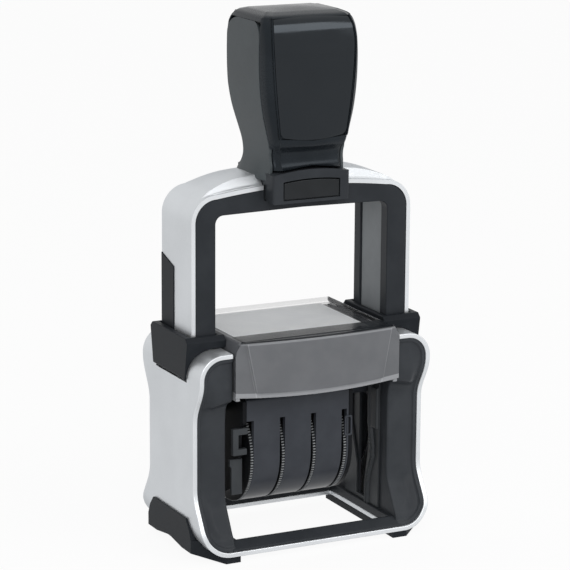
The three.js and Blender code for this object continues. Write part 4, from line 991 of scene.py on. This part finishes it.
def grip_core():
    """The closed inner form: sunk under the shells, flush at the neck's front and at the crown.
    The crown is a parabola both ways over rings that shrink to the middle."""
    z = runs((97.7, BEZEL_LOW, 16), (BEZEL_LOW + HAIR, 137.4, 36), (FLANK_HIGH + HAIR, 138.0, 2),
             (BEZEL_HIGH - HAIR, BEZEL_HIGH, 2), (138.7, 139.7, 9))
    outline = grip_outline(z, SUNK * ((z > BEZEL_LOW) & (z < BEZEL_HIGH)), SUNK * (z < FLANK_HIGH))
    ring = np.concatenate([outline, outline[:, -2:0:-1] * FLIP], axis=1)
    x, y = ring[..., 0], ring[..., 1]
    x = x + np.sign(x) * flare(z[:, None], y) * smooth_step(np.abs(x), 4, 9)
    neck_arch = np.maximum(z[:, None], ARCH_SIDE + ARCH_RISE * hill(x / ARCH_HALF))
    z = np.where(y < -6, neck_arch, z[:, None])
    shrink = np.linspace(0.9, 0.0, 8)[:, None]
    over_x, over_y = x[-1] * shrink, y[-1] * shrink
    top, half, ahead, behind = GRIP_ROWS[-1]
    reach = np.where(over_y < 0, ahead, behind)
    crown = top + CROWN_RISE * (1 - (over_x / half) ** 2) * (1 - (over_y / reach) ** 2)
    under = shrink[::-1]
    points = np.concatenate([grid(x[0] * under, y[0] * under + GRIP_Y, z[0]),
                             grid(x, y + GRIP_Y, z), grid(over_x, over_y + GRIP_Y, crown)])
    piece = grid_piece("grip_core", points, GRIP_MIDDLE, round_columns=True)
    return round_edges(piece, 0.12, segments=1, crease=40)


dress(grip_core(), "bridge", "handle_core", grip_black)

# %% Flanks, bezels and plates
FLANK_WALL, BEZEL_WALL, GRIP_PLATE_WALL = 0.8, 0.5, 0.7
FLANK_RADIUS, PLATE_RADIUS, STRIP_GAP, PLATE_BED = 4.5, 1.6, 0.12, 0.7
DROOP, DROOP_RUN = 0.8, 2.2


def grip_flank(word, side):
    """A strip of the flank from the flared neck to the crown; its top corners are rounded by
    narrowing the highest rows along a circle, and its foot draws in at the rear, onto the hump."""
    z = runs((FLANK_LOW, 105, 18), (105.6, 132.5, 30), (133, FLANK_HIGH, 12))
    half, ahead, behind = through(GRIP_ROWS, z).T[:, :, None]
    z = z[:, None]
    rise = np.clip(z - (FLANK_HIGH - FLANK_RADIUS), 0, FLANK_RADIUS * 0.995)
    trim = FLANK_RADIUS - np.sqrt(FLANK_RADIUS ** 2 - rise ** 2)
    start = -np.minimum(FLANK_FRONT, FLANK_SHARE * ahead) + STRIP_GAP + trim
    foot = 1.2 * np.clip((99.4 - z) / 2.4, 0, 1) ** 2
    end = np.minimum(FLANK_REAR, FLANK_SHARE * behind) - STRIP_GAP - trim - foot
    across = np.linspace(0, 1, 17)
    y = start * (1 - across) + end * across
    x = side * (half - 0.1 * (y / FLANK_FRONT) ** 2 + flare(z, y))
    return sheet("grip_flank_" + word, grid(x, y + GRIP_Y, z), GRIP_MIDDLE, FLANK_WALL, 0.25,
                 even=True)


def droop(z, across):
    """How far the plate's foot bows down in the middle, fading out above and below it."""
    return -DROOP * np.exp(-((z - PLATE_LOW) / DROOP_RUN) ** 2) * hill(across)


def grip_bezel(word):
    """The faceted frame: a quarter section mirrored, with the plate's bed sunk above its foot."""
    z = runs((BEZEL_LOW, PLATE_LOW - 0.05, 12), (PLATE_LOW + 0.05, BEZEL_HIGH, 44))
    outline = grip_outline(z, flank_in=STRIP_GAP, recess=PLATE_BED * (z > PLATE_LOW))
    quarter = (outline if word == "front" else outline[:, ::-1])[:, :BEZEL_POINTS]
    strip = np.concatenate([quarter[:, :0:-1] * FLIP, quarter], axis=1)
    x, y = strip[..., 0], strip[..., 1]
    height = z[:, None] + droop(z[:, None], x / plate_half(z)[:, None])
    return sheet("grip_bezel_" + word, grid(x, y + GRIP_Y, height), GRIP_MIDDLE, BEZEL_WALL, 0.12)


def grip_plate(word):
    """The glossy plate: a crowned strip with a bowed foot, whose corners follow a small circle."""
    share = runs((0, 0.06, 9), (0.08, 1, 48))
    z = PLATE_LOW + 0.15 + share * (PLATE_HIGH - PLATE_LOW - 0.15)
    drop = np.clip(PLATE_RADIUS - (z - z[0]), 0, PLATE_RADIUS) * 0.98
    half = plate_half(z) - 0.15 - (PLATE_RADIUS - np.sqrt(PLATE_RADIUS ** 2 - drop ** 2))
    across = np.linspace(-1, 1, 25)
    way, column = (-1, 1) if word == "front" else (1, 2)
    depth = through(GRIP_ROWS, z)[:, column, None] + STRIP_GAP - 0.3 * across ** 2
    z = z[:, None]
    points = grid(half[:, None] * across, way * depth + GRIP_Y, z + droop(z, across))
    return sheet("grip_plate_" + word, points, GRIP_MIDDLE, GRIP_PLATE_WALL, 0.18, even=True)


for word, side in SIDES.items():
    dress(grip_flank(word, side), "bridge", "handle_side_" + word, soft_grip, "soft_grip")
for word in ("front", "rear"):
    dress(grip_bezel(word), "bridge", "handle_bezel_" + word, grip_black)
    dress(grip_plate(word), "bridge", "handle_plate_" + word, gloss_plate, "gloss_plate")

# %% [markdown]
# ## Date wheels
# The thumb wheels are thin discs with a finely toothed rim that just shows in the cassette's slots,
# and the crests of the teeth carry a painted highlight. The teeth could be an array of small boxes,
# but those would have to be joined to the rim. Here a profile of (x, radius) rows is turned about
# the shaft, the teeth are a cosine on the rim's radius, and the painted highlight is a ramp on the
# distance from the shaft.

# %% Wheels
WHEEL_Z, WHEEL_RADIUS, DRUM_RADIUS, HUB_RADIUS = 25.2, 14.42, 7.9, 1.8
DISC_HALF, DISC_SHIFT, RIM_BEVEL = 0.42, 0.3, 0.12
TEETH, TOOTH, POINTS_A_TOOTH = 120, 0.28, 6
WHEEL_NAMES, WHEEL_XS = ("day_tens", "day_units", "month", "year"), (-17.1, -8.1, 0.9, 9.9)
DRUM_ENDS = (-12.8, -12.4, -6.9, 2.1)


def toothed():
    """The wheels' plastic: black, with a painted highlight on the crest of every tooth."""
    finish = Finish("toothed_black", Specular_IOR_Level=0.3)
    y, z = finish.axes()[1:]
    up = z - WHEEL_Z
    # Noise that roughens the painted highlight's edge and varies the gloss.
    jitter = finish.noise(0.6)
    reach = (y * y + up * up).root() + jitter * 0.08
    # Painted highlight: the crests of the teeth are lightened, a glint put into the colour.
    tip_glint = finish.ramp(reach, WHEEL_RADIUS - 0.14, WHEEL_RADIUS + 0.02)
    finish.set(Base_Color=finish.blend(tip_glint, paint(20, 22, 25), paint(140, 143, 145)),
               Roughness=0.4 + jitter * 0.1)
    return finish.material


def date_wheel(name, x, drum_end):
    """Turns a closed profile about the shaft: hub, disc with bevelled rim, drum beside it."""
    low, high = x - DISC_HALF, x + DISC_HALF
    ring = [(low, WHEEL_RADIUS - RIM_BEVEL), (low + RIM_BEVEL, WHEEL_RADIUS),
            (high - RIM_BEVEL, WHEEL_RADIUS), (high, WHEEL_RADIUS - RIM_BEVEL)]
    if drum_end > x:
        ring = [(low, HUB_RADIUS)] + ring
        ring += [(high, DRUM_RADIUS), (drum_end, DRUM_RADIUS), (drum_end, HUB_RADIUS)]
    else:
        ring += [(high, HUB_RADIUS), (drum_end, HUB_RADIUS), (drum_end, DRUM_RADIUS),
                 (low, DRUM_RADIUS)]
    along, radius = np.array(ring).T[:, :, None]
    steps = TEETH * POINTS_A_TOOTH
    angle = np.arange(steps) * 2 * np.pi / steps
    r = radius - TOOTH / 2 * (1 - np.cos(TEETH * angle)) * (radius > WHEEL_RADIUS - 0.3)
    points = grid(along, r * np.cos(angle), WHEEL_Z + r * np.sin(angle))
    wheel = grid_piece(name, points, (x, 0, WHEEL_Z), round_rows=True, round_columns=True)
    wheel.data.set_sharp_from_angle(angle=math.radians(35))
    return wheel


toothed_black = toothed()
for name, x, drum_end in zip(WHEEL_NAMES, WHEEL_XS, DRUM_ENDS):
    wheel = date_wheel("thumb_wheel_" + name, x + DISC_SHIFT, drum_end)
    dress(wheel, name + "_wheel", "date_wheel_" + name, toothed_black)

# %% [markdown] ## Springs Two long coils in the columns push the bridge up, and a small one pushes
# the lock button out. A Screw modifier could wind a circle, but its ends stay open.

# %% Springs
RING_POINTS, TURN_STEPS = 10, 24
SPRING_X, SPRING_LOW, SPRING_LENGTH, LOCK_SPRING_Z = 28.25, 4.7, 67.3, 94.85


def steel():
    """Drawn wire: noise stretched along z varies its colour and its gloss."""
    finish = Finish("spring_steel", Metallic=1.0)
    draw = finish.noise(0.4, detail=2.0, stretch=(1, 1, 6))
    finish.set(Base_Color=finish.blend(draw, paint(150, 152, 155), paint(190, 192, 195)),
               Roughness=0.22 + draw * 0.2)
    return finish.material


def coil(name, radius, wire, turns, length, place, upright):
    """Round wire along a helix; place is the middle of its first end, wire the wire's radius."""
    step = np.arange(turns * TURN_STEPS + 1)[:, None]
    angle = step * 2 * np.pi / TURN_STEPS
    along = wire + (length - 2 * wire) * step / (turns * TURN_STEPS)
    turn = np.arange(RING_POINTS) * 2 * np.pi / RING_POINTS
    out = radius + wire * np.cos(turn)
    a, b, c = out * np.cos(angle), out * np.sin(angle), along - wire * np.sin(turn)
    points = (grid(a, b, c) if upright else grid(a, c, b)) + np.array(place)
    return grid_piece(name, points, np.array(place) + (0, 0, 1), round_columns=True, caps=True)


spring_steel = steel()
for word, side in SIDES.items():
    spring = coil("coil_" + word, 1.12, 0.28, 14, SPRING_LENGTH, (side * SPRING_X, 0, SPRING_LOW),
                  upright=True)
    dress(spring, "base", "return_spring_" + word, spring_steel, "spring_steel")
    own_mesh(spring)
small = coil("coil_lock", 1.5, 0.2, 2, 2.1, (0, -11.5, LOCK_SPRING_Z), upright=False)
dress(small, "bridge", "lock_spring", spring_steel, "spring_steel")
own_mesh(small)

# %% [markdown]
# ## The carriage
# The cassette is a U-shaped sheet round the wheels, open at the mouth where the bands come out.
# Slots cut by a Boolean would leave ragged rims, so the sheet has columns of points on both edges
# of every slot, and the quads between them are left out; the first slot runs out to the left end,
# where the catch sits. The last slot has a thin frame beside it.

# %% The cassette
CASSETTE_RADIUS, CASSETTE_LEFT, CASSETTE_RIGHT, CASSETTE_WALL = 14.3, -18.4, 11.2, 1.4
STEP_Z, MOUTH_Z, SLOT_TOP, SLOT_HALF = 41.0, 44.4, 35.7, 0.75
WHEEL_HUB = np.array([0, WHEEL_Z])


def cassette_face():
    """The U in the side view from the front lip of the mouth to the rear one, as (y, z) rows."""
    radius = CASSETTE_RADIUS
    front = np.concatenate([
        line((-6.9, MOUTH_Z), (-7.6, MOUTH_Z), 2),
        line((-7.9, MOUTH_Z - 0.15), (-radius + 0.2, STEP_Z + 0.15), 6),
        line((-radius, STEP_Z - 0.3), (-radius, WHEEL_Z + 0.5), 34)])
    return np.concatenate([front, arc(WHEEL_HUB, radius, 180, 360, 61), front[::-1] * FLIP])


def cassette():
    """The U carried along the wheels' shaft, with columns on both edges of every slot."""
    edges = [at + way * SLOT_HALF for at in WHEEL_XS for way in (-1, 1)]
    x = np.unique([*edges, *np.linspace(CASSETTE_LEFT, CASSETTE_RIGHT, 34)])
    y, z = cassette_face().T[:, :, None]
    points = grid(x, y, z)
    x, z = middles(points)[[0, 2]]
    slots = np.any([np.abs(x - at) < SLOT_HALF for at in WHEEL_XS], axis=0)
    gone = (z < SLOT_TOP) & (slots | (x < WHEEL_XS[0] + SLOT_HALF))
    return sheet("cassette", points, (0, 0, WHEEL_Z), CASSETTE_WALL, 0.18, keep=~gone)


dress(cassette(), "carriage", "cassette_shell", carriage_black)


# %% End plates, catch and frame
def stacked(layers):
    """Rows of points from (outline, y) pairs, where an outline holds (x, z) rows."""
    return np.array([np.insert(outline, 1, y, axis=1) for outline, y in layers])


def end_plate(name, x0, x1, low_radius):
    """A plate that fills the U: rows shrink to the middle, on both faces. Its bowl may be smaller
    than the cassette's."""
    out = cassette_face() - WHEEL_HUB
    bowl = out[:, 1:] < SLOT_TOP - 0.5 - WHEEL_Z
    length = np.maximum(np.linalg.norm(out, axis=1, keepdims=True), 1)
    out = out - out / length * bowl * (CASSETTE_RADIUS - low_radius)
    layers = [(x0, 0.0), (x0, 0.5), (x0, 1.0), (x1, 1.0), (x1, 0.5), (x1, 0.0)]
    points = np.array([np.insert(WHEEL_HUB + out * share, 0, x, axis=1) for x, share in layers])
    piece = grid_piece(name, points, ((x0 + x1) / 2, 0, WHEEL_Z), round_columns=True)
    return round_edges(piece, 0.15)


def prism(name, corners, y0, y1):
    """A flat plate with the given (x, z) corners, between two depths."""
    corners = np.array(corners)
    x, z = corners.mean(0)
    piece = grid_piece(name, stacked([(corners, y0), (corners, y1)]), (x, (y0 + y1) / 2, z),
                       round_columns=True, caps=True)
    return round_edges(piece, 0.15)


def slot_frame():
    """A rounded rectangle's ring beside the last slot, square to the cassette's face."""
    x0, x1, z0, z1, r = 10.0, 12.2, 28.4, 33.9, 0.5
    face, front = -14.0, -14.55
    corners = ((x1 - r, z1 - r, 90), (x1 - r, z0 + r, 0), (x0 + r, z0 + r, -90),
               (x0 + r, z1 - r, 180))
    ring = np.concatenate([arc((x, z), r, start, start - 90, 5) for x, z, start in corners])
    hub = np.array([(x0 + x1) / 2, (z0 + z1) / 2])
    inner = hub + (ring - hub) * (0.56, 0.82)
    points = stacked([(ring, face), (ring, front), (inner, front), (inner, face)])
    piece = grid_piece("slot_frame", points, (hub[0], -14.3, hub[1]), round_rows=True,
                       round_columns=True)
    return round_edges(piece, 0.1)


for word, x0, x1, low_radius in (
        ("left", -19.5, -18.5, 11.6), ("right", 11.3, 12.4, CASSETTE_RADIUS)):
    piece = end_plate("cassette_end_" + word, x0, x1, low_radius)
    dress(piece, "carriage", "end_plate_" + word, deep_black)
catch = prism("catch_prongs", [(-21.9, 26.7), (-17.9, 26.7), (-17.9, 28.3), (-20.3, 28.3),
                               (-20.3, 32.1), (-17.7, 32.1), (-17.7, 33.8), (-21.9, 33.8)],
              -13.6, -12.2)
catch_foot = prism("catch_plate", [(-21.4, 15.6), (-18.3, 15.6), (-18.3, 25.2), (-21.9, 25.2),
                                   (-21.9, 23.4), (-21.4, 23.0)], -11.6, -10.6)
dress(slot_frame(), "carriage", "cassette_shell", carriage_black)
# The catch wears the lighter copy of the black plastic, painted light.
for piece in (catch, catch_foot):
    dress(piece, "carriage", "wheel_hook", lightened_black)
dress_softened([("band_nose", "carriage", carriage_black, 0.15)])

# %% [markdown]
# ## Pins, shaft and bands
# The pivot pins, the shaft and the rubber bands are hardly seen between the other pieces. New
# meshes would show no gain, so the frame's own meshes stay, and only their material changes.

# %% Pins, shaft and bands
plain_nodes = {"pivot_pin_left": carriage_black, "pivot_pin_right": carriage_black,
               "wheel_shaft": spring_steel}
plain_nodes.update({"date_band_" + name: band_rubber for name in WHEEL_NAMES})
for node, material in plain_nodes.items():
    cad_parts[node].material_slots[0].material = material
print("finished as they are:", ", ".join(plain_nodes))

# %% [markdown]
# ## The floor
# The photograph is a studio shot on white, where the floor burns out and leaves no horizon. A lamp
# strong enough for that would wash out the stamp. Here the floor mixes its white with an even glow
# for the rays that end in the picture, while to all other rays it is plain matt paper.

# %% Floor
FLOOR_HALF, FLOOR_GLOW, FLOOR_DRIFT = 3.0, 0.93, 40.0
floor_mesh = bpy.data.meshes.new("floor")
corners = np.array([(-1, -1, 0), (1, -1, 0), (1, 1, 0), (-1, 1, 0)]) * FLOOR_HALF
floor_mesh.from_pydata(corners.tolist(), [], [(0, 1, 2, 3)])
floor = bpy.data.objects.new("floor", floor_mesh)
bpy.context.scene.collection.objects.link(floor)
white = Finish("floor_white", Roughness=0.9)
white.set(Base_Color=white.blend(white.noise(FLOOR_DRIFT), paint(246, 246, 246),
                                 paint(250, 250, 250)))
glow = white.node("ShaderNodeEmission", {}, {"Color": (1, 1, 1, 1), "Strength": 1.0})
mixed = white.node("ShaderNodeMixShader", {}, {
    0: white.seen() * FLOOR_GLOW, 1: Wire(white, white.shader.outputs[0]), 2: glow})
white.feed(white.own("OUTPUT_MATERIAL").inputs["Surface"], mixed)
floor_mesh.materials.append(white.material)
print("floor:", 2 * FLOOR_HALF, "m wide, glow", FLOOR_GLOW)

# %% [markdown]
# ## World and lamps
# One broad soft box stands at the front left and above, a smaller one high at the front right, and
# a weak one to the right. A single sun would leave black sides, and a bright sky flat ones. So the
# sky is white in the picture and in reflections, but lights the stamp at half strength only.

# %% World and lamps
SKY_FILL = 0.5
MIDDLE = (0.0, 0.0, 0.07)
scene = bpy.context.scene
scene.view_settings.view_transform = "Standard"
scene.world = bpy.data.worlds.new("studio")
sky = Tree(scene.world)
background = sky.own("BACKGROUND")
sky.feed(background.inputs["Color"], (1, 1, 1, 1))
sky.feed(background.inputs["Strength"], sky.seen() * (1 - SKY_FILL) + SKY_FILL)


def lamp(name, place, width, height, watts):
    """A soft box that is aimed at the stamp's middle; lengths in metres."""
    light = bpy.data.lights.new(name, "AREA")
    light.shape = "RECTANGLE"
    light.size, light.size_y, light.energy = width, height, watts
    holder = bpy.data.objects.new(name, light)
    holder.location = place
    aim = Vector(MIDDLE) - Vector(place)
    holder.rotation_euler = aim.to_track_quat("-Z", "Y").to_euler()
    scene.collection.objects.link(holder)
    print(f"{name}: {watts} W at {aim.length:.2f} m")


lamp("key_front_left", (-0.36, -0.75, 0.48), 0.5, 0.5, 2.5)
lamp("high_front_right", (0.33, -0.53, 0.6), 0.3, 0.42, 1.15)
lamp("fill_right", (0.6, -0.45, 0.2), 0.5, 0.5, 0.4)

# %% [markdown]
# ## The camera
# The photograph was taken from the front left and above with a long lens, which keeps the uprights
# nearly parallel. A camera placed by eye hardly ever lines up, so its place was fitted to corners
# and edges of the base, bridge and handle. They hardly tell near from far, so the lens itself is a
# choice. The place is given as an orbit round a point on the axis, with a small roll and shift.

# %% Camera
AZIMUTH, ELEVATION, ROLL = (math.radians(a) for a in (-26.7665, 13.1048, 0.3846))
DISTANCE, SHIFT_RIGHT, SHIFT_UP = 677.348, -0.4146, -7.9385
AIM = np.array([0.0, 0.0, 75.0])
FOCAL_PIXELS, FRAME_PIXELS, SENSOR = 2600.04, 570, 36.0
back = np.array([math.sin(AZIMUTH) * math.cos(ELEVATION),
                 -math.cos(AZIMUTH) * math.cos(ELEVATION), math.sin(ELEVATION)])
level_right = np.array([math.cos(AZIMUTH), math.sin(AZIMUTH), 0.0])
level_up = np.cross(back, level_right)
right = math.cos(ROLL) * level_right + math.sin(ROLL) * level_up
up = -math.sin(ROLL) * level_right + math.cos(ROLL) * level_up
eye = AIM + back * DISTANCE + level_right * SHIFT_RIGHT + level_up * SHIFT_UP
lens = bpy.data.cameras.new("camera")
lens.sensor_width, lens.lens = SENSOR, FOCAL_PIXELS / FRAME_PIXELS * SENSOR
camera = bpy.data.objects.new("camera", lens)
turn = np.eye(4)
turn[:3] = np.column_stack([right, up, back, eye * MM])
camera.matrix_world = Matrix(turn.tolist())
scene.collection.objects.link(camera)
scene.camera = camera
print("camera at", np.round(eye, 1), "mm, lens", round(lens.lens, 1), "mm")

# %% [markdown] ## Sizes and finish Each piece's size is printed as it is dressed, since a new
# piece that sticks out past the measured frame would be wrong.
